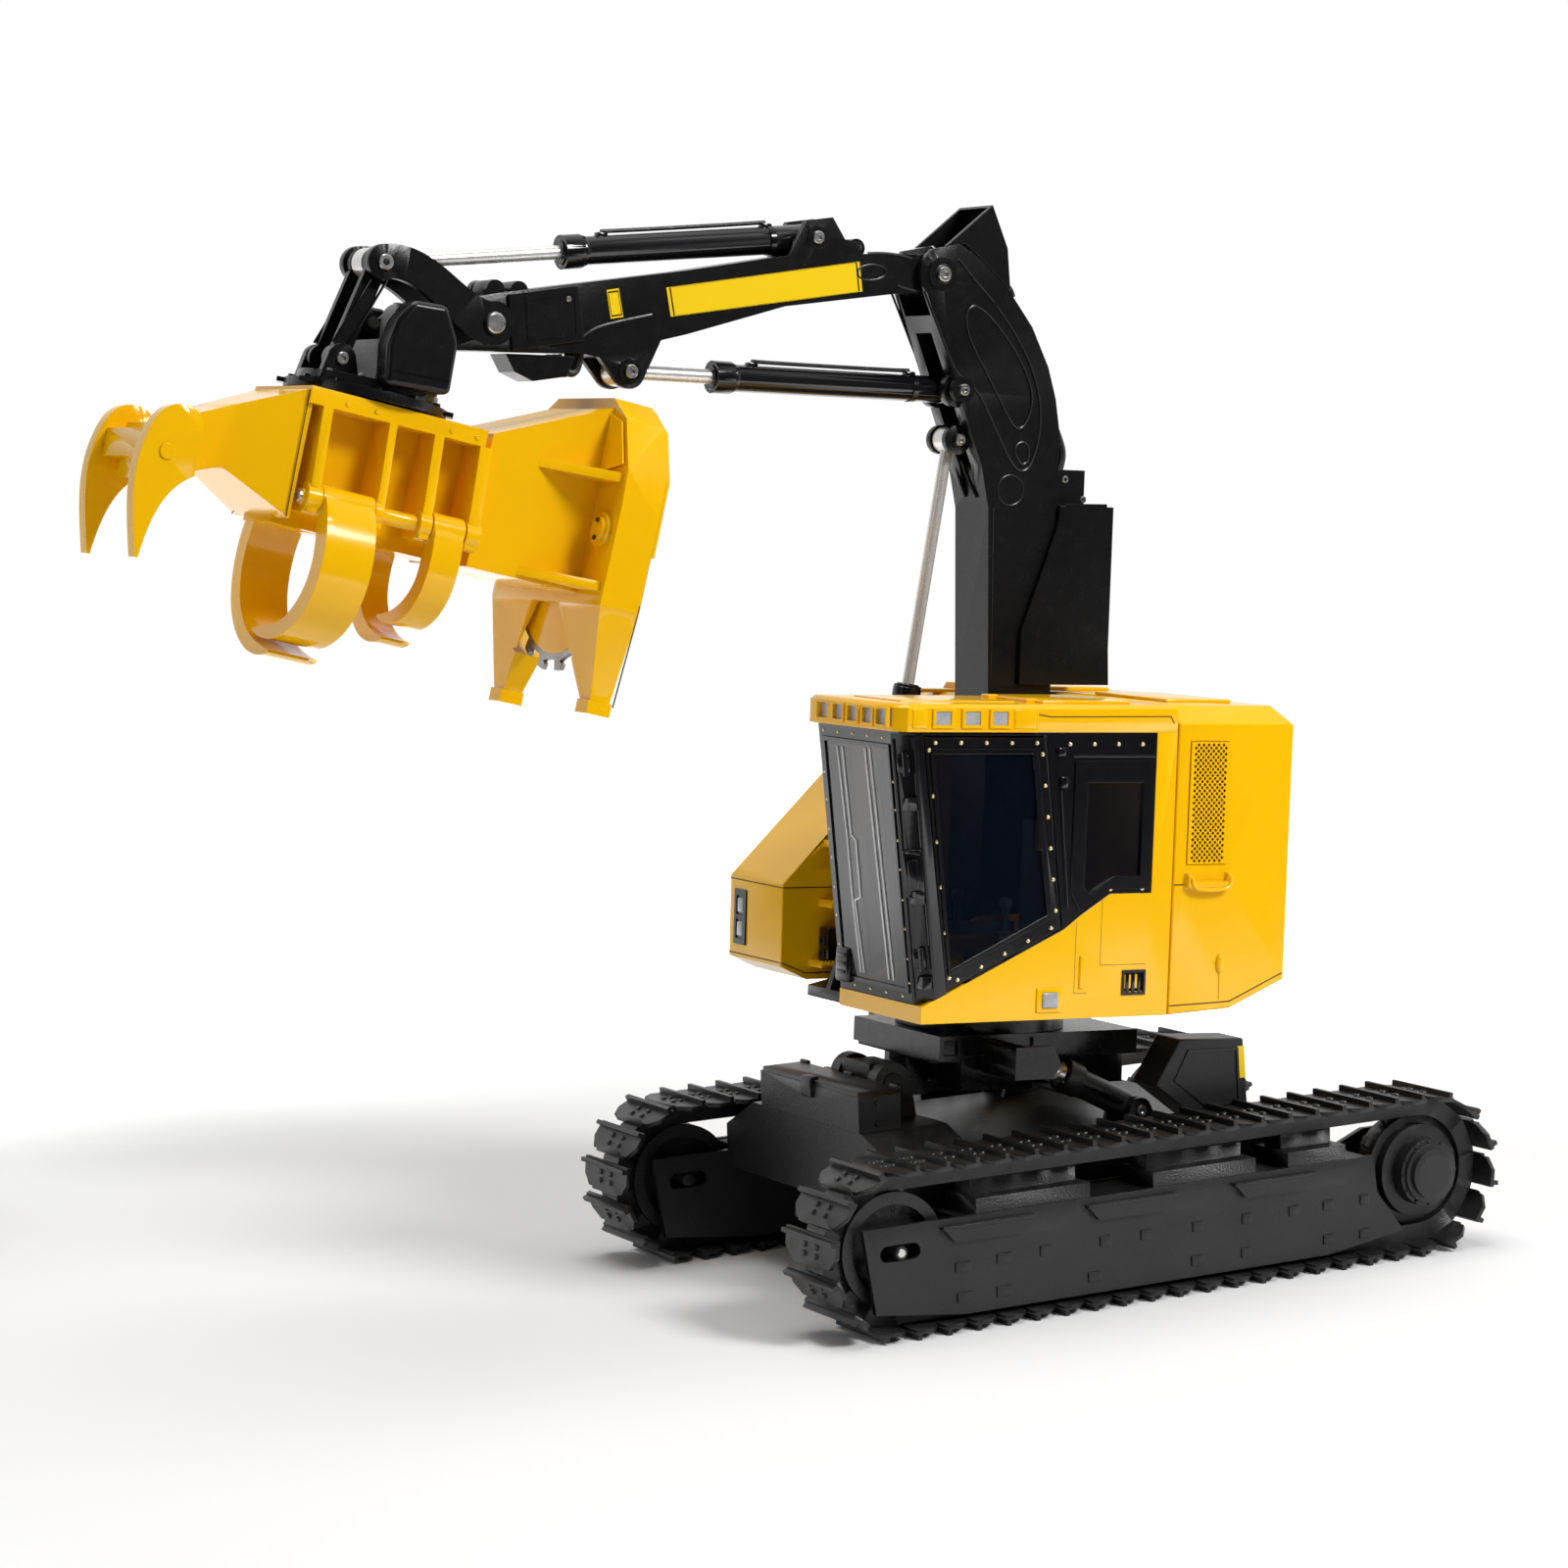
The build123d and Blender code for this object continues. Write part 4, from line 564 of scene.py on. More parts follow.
addTube(bm, [(0.3, -1.4, low + 0.5), (1.2, -0.6, low + 0.3), (1.2, 0.8, low + 0.4), (0.3, 1.5, low + 0.8)], 0.30)
addRoundBox(bm, (0.2, -1.0, low + 1.4), (1.0, 1.0, high - 2.0), 0.35)
for y in (-post["ridge"], post["ridge"]):
    addTube(bm, [(0.0, y, 1.0), (0.0, y, post["ridgeTo"])], 0.32, straight=True)
addPiece("post_fittings", bm, postPlace, "upper", "blackGloss")

# Small boxes ahead: a ribbed one under the windshield, one with two caps on the right
frontBoxes = {"x": shieldX(67), "ribs": (65.2, 66.9, 68.6), "caps": (63.8, 66.4)}
bm = bmesh.new()
addRoundBox(bm, (frontBoxes["x"] - 0.9, 15.3, 63.6), (frontBoxes["x"] + 1.0, 20.2, 70.6), 0.6)
for z in frontBoxes["ribs"]:
    addRoundBox(bm, (frontBoxes["x"] + 0.7, 16.2, z), (frontBoxes["x"] + 1.3, 19.4, z + 0.8), 0.2, 2)
addRoundBox(bm, (36.6, -23.0, 62.6), (39.8, -19.0, 69.8), 0.4)
for z in frontBoxes["caps"]:
    addPinHead(bm, (39.6, -21.0, z + 0.6), (1, 0, 0), 1.0, 0.5)
addPiece("front_boxes", bm, levelPlace, "upper", "blackGloss")
print("cab dressed")


# Cab roof and sides: lamp surrounds, hatch, vent, and seams drawn as painted shade
roof = {
    "lampZ": 117.6, "frontLamps": (20.0, 25.6, 31.2, 36.8, 42.0), "sideLamps": (41.7, 48.0, 54.6), "frontX": 64.95,
    "sideY": 46.7,
    "boxes": (((58.2, 46.4, 115.6), (61.4, 47.0, 119.4), 0.25), ((33.4, 46.4, 115.6), (38.4, 47.0, 119.4), 0.25),
              ((8.0, 20.0, 120.0), (29.0, 42.0, 120.9), 0.4), ((34.0, 22.0, 120.0), (60.0, 40.0, 120.6), 0.3)),
    "hatchHinges": (24.0, 38.0),
    "lampPlinth": ((24.4, 45.8, 60.0), (30.4, 46.35, 64.9), 0.2),
    "latchCover": ((19.4, 45.8, 64.4), (20.6, 46.4, 71.2), 0.3),
    "rightBar": ((3.2, -34.0, 118.4), (13.6, -30.0, 119.2), 0.3),
}
bm = bmesh.new()
z = roof["lampZ"]
for y in roof["frontLamps"]:
    outer, inner = (y - 2.3, y + 2.3, z - 2.0, z + 1.9), (y - 1.7, y + 1.7, z - 1.5, z + 1.4)
    addSurround(bm, "x", roof["frontX"], outer, inner, 0.75)
for x in roof["sideLamps"]:
    outer, inner = (x - 2.4, x + 2.4, z - 1.9, z + 1.8), (x - 1.7, x + 1.7, z - 1.3, z + 1.3)
    addSurround(bm, "y", roof["sideY"], outer, inner, 0.55)
for low, high, radius in roof["boxes"]:
    addRoundBox(bm, low, high, radius)
for y in roof["hatchHinges"]:
    addRoundBox(bm, (28.6, y - 1.4, 120.0), (31.0, y + 1.4, 121.1), 0.3)
for part in ("lampPlinth", "latchCover", "rightBar"):
    addRoundBox(bm, *roof[part])
addPiece("cab_trim", bm, levelPlace, "upper", "yellowEnamel", bevel=0.1)

lenses = (((25.6, 46.2, 60.9), (29.2, 46.8, 64.0), 0.35), ((48.1, -42.3, 65.9), (48.75, -39.9, 69.1), 0.3),
          ((48.1, -42.3, 70.9), (48.75, -39.9, 74.1), 0.3), ((41.0, -6.0, 61.0), (41.4, -4.0, 63.0), 0.1),
          ((41.0, -2.0, 61.0), (41.4, 0.0, 63.0), 0.1))
bm = bmesh.new()
for low, high, radius in lenses:
    addRoundBox(bm, low, high, radius)
addPiece("side_lamp_lenses", bm, levelPlace, "upper", "lampLens")

bm = bmesh.new()
addSurround(bm, "y", 45.7, (4.8, 10.4, 62.9, 67.9), (5.4, 9.8, 63.5, 67.3), 0.6)  # vent below the rear window
addBox(bm, (5.3, 45.45, 63.5), (9.9, 45.62, 67.4))
for x in (6.2, 7.6, 9.0):
    addRoundBox(bm, (x - 0.4, 45.5, 63.4), (x + 0.4, 46.1, 67.4), 0.15)
addSurround(bm, "x", 48.0, (-43.6, -38.6, 64.2, 75.9), (-42.6, -39.6, 65.5, 74.5), 0.75)  # lamps on the right front
addBox(bm, (47.9, -42.8, 65.3), (48.45, -39.4, 74.8))
addBox(bm, (48.1, -42.8, 69.5), (48.7, -39.4, 70.5))
addPiece("vent_and_lamp_surrounds", bm, levelPlace, "upper", "blackGloss", bevel=0.1)

# seams are thin strips of painted shade: dark brown where the grooves between panels fall in shadow
seams = {
    "width": 0.24, "sides": (46.0, -46.0),
    "left": ((32.7, 118.4), (29.5, 117.9), (1.1, 118.1), (0.3, 116.8)),
    "leftFaint": (((15.7, 82.4), (15.7, 69.0), (4.9, 69.0)), ((21.6, 77.6), (21.6, 63.6), (18.6, 63.6))),
    "moduleFoot": ((-1.3, 60.4), (-15.8, 60.9), (-18.0, 61.8), (-28.6, 66.3)),
    "moduleStep": ((-1.4, 84.6), (-4.0, 84.6)),
    "rightFront": ((48.45, 77.9), (48.3, 62.2)), "rightTop": ((48.3, 77.9), (14.0, 77.9)),
    "rightFoot": ((48.0, 62.2), (42.5, 60.0), (1.0, 60.0)), "rightPost": ((20.0, 60.2), (20.0, 77.8)),
}
left, right = seams["sides"]
bm = bmesh.new()
addStrip(bm, onSide(seams["left"], left), 0.22, (0, 1, 0))
for points in seams["leftFaint"]:
    addStrip(bm, onSide(points, left), 0.10, (0, 1, 0), 0.02)
for points in (seams["moduleFoot"], seams["moduleStep"]):
    addStrip(bm, onSide(points, left), seams["width"], (0, 1, 0))
for x, z in seams["rightFront"]:
    addStrip(bm, [(x, -45.7, z), (x, -23.8, z)], seams["width"], (1, 0, 0))
for y, out in ((-23.5, (0, 1, 0)), (right, (0, -1, 0))):
    addStrip(bm, onSide(seams["rightTop"], y), seams["width"], out)
    addStrip(bm, onSide(seams["rightFoot"], y), seams["width"], out)
addStrip(bm, onSide(seams["rightPost"], right), 0.2, (0, -1, 0))
addStrip(bm, onSide(seams["moduleFoot"], right), seams["width"], (0, -1, 0))
for y in (-15.4, 15.4):
    addStrip(bm, [(-29.2, y, 66.4), (-29.2, y, 116.4)], seams["width"], (-1, 0, 0))
addPiece("panel_seam_shadows", bm, levelPlace, "upper", "paintedShadeBrown")

steps = {"corners": ((35.5, 73.9), (37.5, 61.4)), "pitch": 0.8, "side": -23.2, "front": 0.2}
bm = bmesh.new()
for x0, z0 in steps["corners"]:  # toothed edges of the two steps
    for k in range(6):
        y = steps["side"] + k * steps["pitch"]
        addRoundBox(bm, (x0 + 3.6, y, z0 + 0.9), (x0 + 4.2, y + 0.4, z0 + 1.5), 0.1, 1)
    for k in range(5):
        x = x0 + steps["front"] + k * steps["pitch"]
        addRoundBox(bm, (x, -18.9, z0 + 0.9), (x + 0.4, -18.4, z0 + 1.6), 0.1, 1)
addPiece("step_teeth", bm, levelPlace, "upper", "yellowEnamel")
print("cab roof and sides dressed")


# Engine module: perforated panel, handle, latch, rear panel, top covers
grille = {"low": (-13.5, 88.7), "high": (-4.1, 113.1), "pitch": 0.86, "web": 0.17, "face": 46.02, "corner": 0.13,
          "thick": 0.25}


def addGrille(bm, settings):
    # square holes with cut corners, set at 45 degrees
    (x0, z0), (x1, z1) = settings["low"], settings["high"]
    width, height, pitch = x1 - x0, z1 - z0, settings["pitch"]
    count = int((width + height) / math.sqrt(2) / pitch) + 2
    bmesh.ops.create_grid(bm, x_segments=count, y_segments=count, size=count * pitch / 2,
                          matrix=Matrix.Rotation(math.radians(45), 4, "Z"))
    for edge in ((width / 2, 0, 0), (-width / 2, 0, 0), (0, height / 2, 0), (0, -height / 2, 0)):
        bmesh.ops.bisect_plane(bm, geom=[*bm.verts, *bm.edges, *bm.faces], plane_co=edge,
                               plane_no=Vector(edge).normalized(), clear_outer=True)
    cells = [f for f in bm.faces if f.calc_area() > 0.75 * pitch ** 2]
    bmesh.ops.inset_individual(bm, faces=cells, thickness=settings["web"])
    corners = list({v for f in cells for v in f.verts})
    bmesh.ops.bevel(bm, geom=corners, affect="VERTICES", offset=settings["corner"], segments=1, profile=0.5,
                    material=-1)
    bmesh.ops.delete(bm, geom=[f for f in bm.faces if len(f.verts) == 8], context="FACES")
    bmesh.ops.solidify(bm, geom=bm.faces[:], thickness=settings["thick"])
    place = Matrix.Translation(((x0 + x1) / 2, settings["face"], (z0 + z1) / 2))
    bmesh.ops.transform(bm, matrix=place @ Matrix.Rotation(math.radians(90), 4, "X"), verts=bm.verts)


bm = bmesh.new()
addGrille(bm, grille)
addPiece("module_grille", bm, levelPlace, "upper", "yellowEnamel")
# painted shade behind the perforations: a dark brown sheet with bars where the inside lies in shadow
bm = bmesh.new()
addBox(bm, (-13.4, 45.42, 88.8), (-4.2, 45.55, 113.0))
for k in range(9):
    addBox(bm, (-13.2, 45.5, 90.4 + k * 2.6), (-4.4, 45.62, 90.7 + k * 2.6))
addPiece("grille_shade_back", bm, levelPlace, "upper", "paintedShadeBrown")

module = {
    "handleEnds": (-14.3, -4.7), "handleZ": 86.4,
    "handle": ((-4.7, 46.0, 86.4), (-4.7, 47.4, 86.2), (-4.9, 47.5, 84.6), (-6.2, 47.5, 83.6), (-12.8, 47.5, 83.6),
               (-14.1, 47.5, 84.6), (-14.3, 47.4, 86.2), (-14.3, 46.0, 86.4)),
    "latch": ((-13.1, 46.1, 68.6), (0.95, 0.8, 2.0, 1)), "rearHinges": (70.0, 84.0, 98.0, 110.0),
    "louvres": (84.0, 2.2, 12), "rearLamps": (-38.0, 38.0),
    "topCovers": (((-22.0, -34.0, 120.0), (-6.0, -10.0, 120.9), 0.4), ((-22.0, 8.0, 120.0), (-6.0, 34.0, 120.9), 0.4)),
}
bm = bmesh.new()
for x in module["handleEnds"]:
    addRod(bm, (x, 45.9, module["handleZ"]), (x, 46.5, module["handleZ"]), 1.0, 0.8, 16)
addTube(bm, module["handle"], 0.45)
latchPlace, latchSize = module["latch"]
bmesh.ops.create_uvsphere(bm, u_segments=16, v_segments=10, radius=1,
                          matrix=Matrix.Translation(latchPlace) @ Matrix.Diagonal(latchSize))
addTube(bm, [(-13.2, 46.05, 66.4), (-13.3, 46.05, 61.4)], 0.18, straight=True)
for z in module["rearHinges"]:
    addRoundBox(bm, (-29.5, -16.6, z - 1.6), (-28.9, -14.2, z + 1.6), 0.2)
    addRoundBox(bm, (-29.5, 14.2, z - 1.6), (-28.9, 16.6, z + 1.6), 0.2)
lowest, pitch, count = module["louvres"]
for k in range(count):
    addRoundBox(bm, (-29.7, -11.0, lowest + k * pitch), (-29.0, 11.0, lowest + 1.0 + k * pitch), 0.3)
for y in module["rearLamps"]:
    addSurround(bm, "x", -29.1, (y - 4.4, y + 4.4, 72.0, 78.0), (y - 3.6, y + 3.6, 72.8, 77.2), -0.5)
for low, high, radius in module["topCovers"]:
    addRoundBox(bm, low, high, radius)
addPiece("module_trim", bm, levelPlace, "upper", "yellowEnamel", bevel=0.1)
bm = bmesh.new()
for y in module["rearLamps"]:
    addRoundBox(bm, (-29.5, y - 3.4, 73.0), (-29.0, y + 3.4, 77.0), 0.3)
addPiece("rear_lenses", bm, levelPlace, "upper", "lampLens")
print("engine module dressed")


# Boom: beads round its side plates, pin heads, hoses
boom = {
    "left": 2.4, "right": -10.4,
    "plate": ((35.2, 201.0), (32.0, 194.8), (29.2, 189.0), (26.6, 184.6), (23.5, 182.9), (21.5, 181.4), (18.5, 176.6),
              (15.4, 171.3), (12.9, 167.3), (10.9, 165.7), (9.0, 166.0), (7.6, 168.4), (6.2, 173.5), (6.4, 180.0),
              (8.6, 186.6), (12.6, 193.0), (18.2, 199.6), (23.6, 204.2), (27.4, 208.0)),
    "pocket": ((25.4, 197.0), (23.7, 199.0), (21.8, 198.5), (19.4, 197.0), (16.9, 194.6), (14.4, 191.9), (11.9, 188.6),
               (9.9, 185.3), (8.8, 182.6), (8.4, 180.0), (9.0, 177.0), (10.8, 174.1), (13.2, 175.2), (16.6, 180.6),
               (20.6, 186.6), (24.4, 192.4)),
    "slot": ((11.4, 171.5), (9.6, 171.9), (8.7, 170.2), (8.8, 167.9), (10.2, 166.9), (11.6, 168.4), (12.4, 170.2)),
    "mark": (12.85, 161.8, 3.2), "bosses": ((31.1, 204.7, 3.6), (25.3, 181.7, 2.9)),
    "bolts": ((18.1, 199.6), (16.7, 148.3), (5.0, 150.0)),
    "hoses": (((-0.6, -7.6, 124.0), (-1.6, -7.6, 150.0), (-1.8, -7.4, 166.0), (-0.8, -7.2, 174.0), (1.6, -7.0, 183.0)),
              ((-0.6, -5.2, 124.0), (-1.4, -5.2, 150.0), (-1.6, -5.2, 166.0), (-0.4, -5.2, 175.0), (2.2, -5.2, 184.6))),
    "shortHose": ((-0.2, 0.2, 166.0), (-1.2, 0.2, 168.6), (-0.6, 0.0, 172.0), (1.0, -0.4, 175.4)),
    "hoseRadius": 0.9,
}
middleY = -4.0  # boom, stick and head lie about this plane
bm = bmesh.new()
for y in (boom["left"], boom["right"]):
    addTube(bm, onSide(boom["plate"], y), 0.26)
    addTube(bm, onSide(boom["pocket"], y), 0.24, closed=True)
    addTube(bm, onSide(boom["slot"], y), 0.22, closed=True)
    x, z, r = boom["mark"]
    around = [onCircle(r, k * math.pi / 6) for k in range(12)]
    addTube(bm, [(x + dx, y, z + dz) for dx, dz in around], 0.14, closed=True)
    sign = 1 if y > 0 else -1
    for x, z, radius in boom["bosses"]:
        addRod(bm, (x, y - sign * 0.4, z), (x, y + sign * 0.5, z), radius, radius - 0.3, 32)
    for x, z in boom["bolts"]:
        addRod(bm, (x, y, z), (x, y + sign * 0.3, z), 0.5, 0.35, 10)
addTube(bm, onSide([(12.4, 201.2), (13.0, 203.4), (15.0, 203.6)], boom["left"] - 3.2), boom["hoseRadius"])
for y0, y1 in ((-8.8, -5.4), (-6.4, -1.2)):  # ribs under the lift cylinder's ears
    addTube(bm, [(19.4, y0, 168.0), (19.9, (y0 + y1) / 2, 164.6), (18.6, y1, 160.2)], 0.45)
addTube(bm, onSide([(16.9, 158.0), (15.9, 123.0)], 2.3), 0.22, straight=True)
addPiece("boom_beads", bm, levelPlace, "boom", "blackEnamel")

bm = bmesh.new()
for points in boom["hoses"]:
    addTube(bm, points, boom["hoseRadius"])
addTube(bm, boom["shortHose"], 0.8)
addPiece("boom_hoses", bm, levelPlace, "boom", "hoseRubber")
bm = bmesh.new()
for x, y, z in ((-5.8, 0.6, 160.4), (-1.2, 0.6, 164.4)):
    addPinHead(bm, (x, y, z), (0, 1, 0), 0.75, 0.8)
for side in (1, -1):
    for (x, z), y, radius in (((25.3, 181.7), 2.9, 1.15), ((24.3, 171.6), 0.4, 1.15), ((31.1, 204.7), 2.9, 1.5)):
        addPinHead(bm, (x, middleY + side * (y - middleY), z), (0, side, 0), radius, 0.55)
addPiece("boom_pins", bm, levelPlace, "boom", "pinSteel", crease=30)

bm = bmesh.new()
for x, z, y in ((9.0, 68.0, 11.4), (39.5, 70.0, 4.9)):
    for side in (1, -1):
        addPinHead(bm, (x, middleY + side * y, z), (0, side, 0), 1.5, 0.6)
addPiece("deck_pins", bm, levelPlace, "upper", "pinSteel", crease=30)
print("boom dressed")


# Stick: blank plates, beads, bosses, hoses, pin heads
stick = {
    "face": 0.6, "far": -8.6,
    "sign": ((93.0, 198.6), (49.6, 206.2), (48.7, 200.3), (91.8, 193.0)),
    "tag": ((106.0, 197.4), (103.4, 197.9), (102.2, 192.4), (104.9, 191.9)),
    "bead": ((111.6, 187.6), (109.4, 189.7), (103.4, 191.5), (96.0, 193.2)),
    "slot": ((50.0, 205.0), (46.6, 206.0), (43.4, 205.4), (43.4, 203.6), (46.4, 202.6), (49.8, 202.8)),
    "footBeads": (((47.6, 208.0), (42.0, 208.6), (37.4, 207.6)), ((40.6, 202.0), (36.2, 200.8), (34.6, 201.4))),
    "bosses": ((100.4, 182.0, 2.6), (59.6, 210.4, 2.4), (146.5, 189.4, 2.6)),
    "frameOuter": ((112.6, 196.9), (123.6, 194.9), (122.8, 186.8), (111.9, 188.2)),
    "frameInner": ((113.2, 196.2), (122.9, 194.4), (122.3, 187.4), (112.5, 188.7)),
    "pins": (((59.6, 210.4), 5.1, 1.25, 0.45), ((100.4, 182.0), 5.1, 1.35, 0.45), ((130.7, 189.7), 7.2, 1.95, 0),
             ((49.0, 209.0), 2.5, 0.8, 0.5), ((146.5, 189.4), 5.0, 1.2, 0.45)),
    "hoses": (-6.6, -4.0, -1.4),
}
stickSides = ((1, stick["face"]), (-1, stick["far"]))


def insetCorners(points, amount):
    middle = Vector((sum(p[0] for p in points), sum(p[1] for p in points))) / len(points)
    return [tuple(Vector(p) + (middle - Vector(p)).normalized() * amount * 1.4) for p in points]


bm = bmesh.new()
for side, y in stickSides:
    for corners in (stick["sign"], stick["tag"]):
        addPlate(bm, onSide(corners, y), (0, side * 0.14, 0))
addPiece("stick_plates", bm, levelPlace, "stick", "plateYellow")
bm = bmesh.new()
for side, y in stickSides:
    for corners, edge in ((stick["sign"], 0.45), (stick["tag"], 0.3)):
        outer, inner = (onSide(insetCorners(corners, amount), y + side * 0.12) for amount in (edge, edge + 0.22))
        addRing(bm, outer, inner, (0, side * 0.05, 0))
addPiece("plate_borders", bm, levelPlace, "stick", "blackEnamel")

bm = bmesh.new()
for side, y in stickSides:
    addTube(bm, onSide(stick["bead"], y), 0.3)
    addTube(bm, onSide(stick["slot"], y), 0.24, closed=True)
    for points in stick["footBeads"]:
        addTube(bm, onSide(points, y), 0.26)
    for x, z, radius in stick["bosses"]:
        addRod(bm, (x, y - side * 0.2, z), (x, y + side * 0.4, z), radius, radius - 0.25, 28)
    outer, inner = (onSide(stick[key], y + side * 0.55) for key in ("frameOuter", "frameInner"))
    addRing(bm, outer, inner, (0, side * 0.2, 0))
addRod(bm, (49.0, -6.4, 209.0), (49.0, -1.6, 209.0), 1.9, segments=20)
for x in (124.5, 129.5):
    for y0, y1 in ((-8.4, -6.8), (-1.2, 0.4)):
        addRod(bm, (x, y0, 196.2), (x, y1, 196.2), 2.0, 1.9, 20)
addPiece("stick_beads", bm, levelPlace, "stick", "blackEnamel", crease=40)

bm = bmesh.new()
for k, y in enumerate(stick["hoses"]):
    points = ((115.0, 184.6), (114.4, 182.0), (112.4 - k * 0.3, 180.8), (110.4, 182.4), (110.2, 185.6))
    addTube(bm, onSide(points, y), 0.8)
addPiece("stick_hoses", bm, levelPlace, "stick", "hoseRubber")
bm = bmesh.new()
for side in (1, -1):
    for (x, z), y, radius, socket in stick["pins"]:
        addPinHead(bm, (x, middleY + side * y, z), (0, side, 0), radius, 0.5, socket)
    addPinHead(bm, (114.4, middleY + side * 5.2, 195.2), (0, side, 0), 0.55, 0.25)
addPiece("stick_pins", bm, levelPlace, "stick", "pinSteel", crease=30)

# Cylinders: foot, eye, length and radius of each barrel, which gets a gland, a band at its foot, ports and a pipe
cylinders = {
    "lift_barrel": ((39.5, 70.0), (24.3, 171.6), 51.8, 2.6), "stick_barrel": ((25.3, 181.7), (100.4, 182.0), 54.6, 2.7),
    "wrist_barrel": ((59.6, 210.4), (153.6, 199.9), 54.6, 2.8),
}
cylinderTrim = {"port": 9.0, "pipe": 0.42, "bend": 13.0}
for name, (foot, eye, length, radius) in cylinders.items():
    foot, eye = Vector((foot[0], middleY, foot[1])), Vector((eye[0], middleY, eye[1]))
    along = (eye - foot).normalized()
    bm = bmesh.new()
    for start, end, r0, r1 in ((length - 4.4, length - 0.6, 1.13, 1.13), (length - 0.6, length + 0.3, 1.13, 0.86),
                               (length - 5.2, length - 4.4, 1.04, 1.13), (8.0, 9.2, 1.06, 1.06)):
        verts = addRod(bm, foot + along * start, foot + along * end, radius * r0, radius * r1, 36)
        inside = [f for v in verts for f in v.link_faces if len(f.verts) > 4]
        bmesh.ops.inset_region(bm, faces=list(set(inside)), thickness=radius * 0.25)
    port = along.cross(Vector((0, 1, 0))).normalized()
    port = port if port.z > 0 else -port
    near, bend = cylinderTrim["port"], cylinderTrim["bend"]
    for reach in (near, length - near):
        at = foot + along * reach + port * radius
        addRoundBox(bm, at - Vector((1.1, 1.0, 0.9)), at + Vector((1.1, 1.0, 0.6)), 0.3, 2)
    path = ((near, 0.8), (bend, 0.7), (length - bend, 0.7), (length - near, 0.8))
    addTube(bm, [foot + along * reach + port * (radius + off) for reach, off in path], cylinderTrim["pipe"])
    addPiece(name + "_bands", bm, levelPlace, name, "blackGloss")
print("stick and cylinders dressed")


# Levelling cylinders: glands, pipes and the rods' collars
levelling = {"ends": ((-8.0, 33.0), (15.44, 45.59)), "side": 23.0, "radius": 2.9, "length": 18.5}
for name, side in (("left", 1), ("right", -1)):
    foot, eye = (Vector(point) for point in onSide(levelling["ends"], side * levelling["side"]))
    along, radius, length = (eye - foot).normalized(), levelling["radius"], levelling["length"]
    bm = bmesh.new()
    for start, end, r0, r1 in ((length - 3.4, length - 0.4, 1.12, 1.12), (length - 0.4, length + 0.3, 1.12, 0.82)):
        addRod(bm, foot + along * start, foot + along * end, radius * r0, radius * r1, 36)
    path = ((4.0, 2.9), (9.0, 3.4), (14.6, 3.0))
    addTube(bm, [foot + along * reach + Vector((0, side * off, 0)) for reach, off in path], 0.5)
    addPiece("levelling_gland_" + name, bm, rowPlace, "levelling_barrel_" + name, "blackGloss")
    bm = bmesh.new()
    addRod(bm, foot + along * (length + 0.5), foot + along * (length + 1.7), 2.35, 2.1, 30)
    addPiece("levelling_collar_" + name, bm, rowPlace, "levelling_rod_" + name, "pinSteel")

# Wrist: covers, ribs on the links, bolts round the flange
wrist = {"cover": ((3.8, 15.4), (4.8, 10.4), (3.6, 3.0), (-9.6, 4.0), (-9.2, 14.0), (-5.6, 20.2), (1.4, 19.6)),
         "coverOut": (11.0, 17.1), "flangeBolts": 12, "flangeRing": 14.4, "screwRing": 12.4,
         "lugs": (25, 155, 205, 335), "lug": ((13.5, -2.6, 1.0), (16.9, -1.8, 1.0), (16.9, 1.8, 1.0), (13.5, 2.6, 1.0))}
bm = bmesh.new()
for side in (1, -1):
    near, far = wrist["coverOut"]
    addPlate(bm, [(h, side * near, n) for h, n in wrist["cover"]], (0, side * (far - near), 0))
addPiece("wrist_covers_body", bm, headPlace, "wrist", "blackEnamel", nodes=("wrist_covers",), bevel=1.3,
         segments=4, crease=25)
bm = bmesh.new()
for side in (1, -1):
    addStrip(bm, [(2.6, side * 17.1, 5.8), (-8.4, side * 17.1, 6.6)], 0.25, (0, side, 0), 0.12)
    addRod(bm, (-3.0, side * 9.6, 15.4), (-3.0, side * 10.9, 15.4), 3.2, 3.0, 28)
for k in range(wrist["flangeBolts"]):
    x, y = onCircle(wrist["flangeRing"], (k + 0.5) * 2 * math.pi / wrist["flangeBolts"])
    addRod(bm, (x, y, 1.9), (x, y, 2.7), 0.75, 0.68, 6)
for angle in wrist["lugs"]:
    turn = Matrix.Rotation(math.radians(angle), 4, "Z")
    addPlate(bm, [turn @ Vector(point) for point in wrist["lug"]], (0, 0, 0.9))
addPiece("wrist_trim", bm, headPlace, "wrist", "blackGloss")
bm = bmesh.new()
for k in (1, 2, 3, 4, 8, 9):
    x, y = onCircle(wrist["screwRing"], k * 2 * math.pi / wrist["flangeBolts"])
    addPinHead(bm, (x, y, 3.9), (0, 0, 1), 0.7, 0.5)
addPiece("flange_screws", bm, headPlace, "wrist", "pinSteel", crease=30)
bm = bmesh.new()
for side in (1, -1):
    addPinHead(bm, (161.6, middleY + side * 6.4, 181.6), (0, side, 0), 1.2, 0.5)
addPiece("wrist_pins", bm, levelPlace, "wrist", "pinSteel", crease=30)
bm = bmesh.new()
for side in (1, -1):
    addPinHead(bm, (153.6, middleY + side * 6.9, 199.9), (0, side, 0), 1.5, 0.45)
addPiece("arm_pins", bm, levelPlace, "wrist_arms", "pinSteel", crease=30)
bm = bmesh.new()
for side in (1, -1):
    for dx in (-1.7, 1.7):
        y = middleY + side * 4.4
        addTube(bm, [(153.8 + dx, y, 196.6), (157.4 + dx, y, 190.6), (161.2 + dx * 0.9, y, 184.6)], 0.28, straight=True)
addPiece("link_ribs", bm, levelPlace, "wrist_links", "blackGloss")
print("wrist dressed")


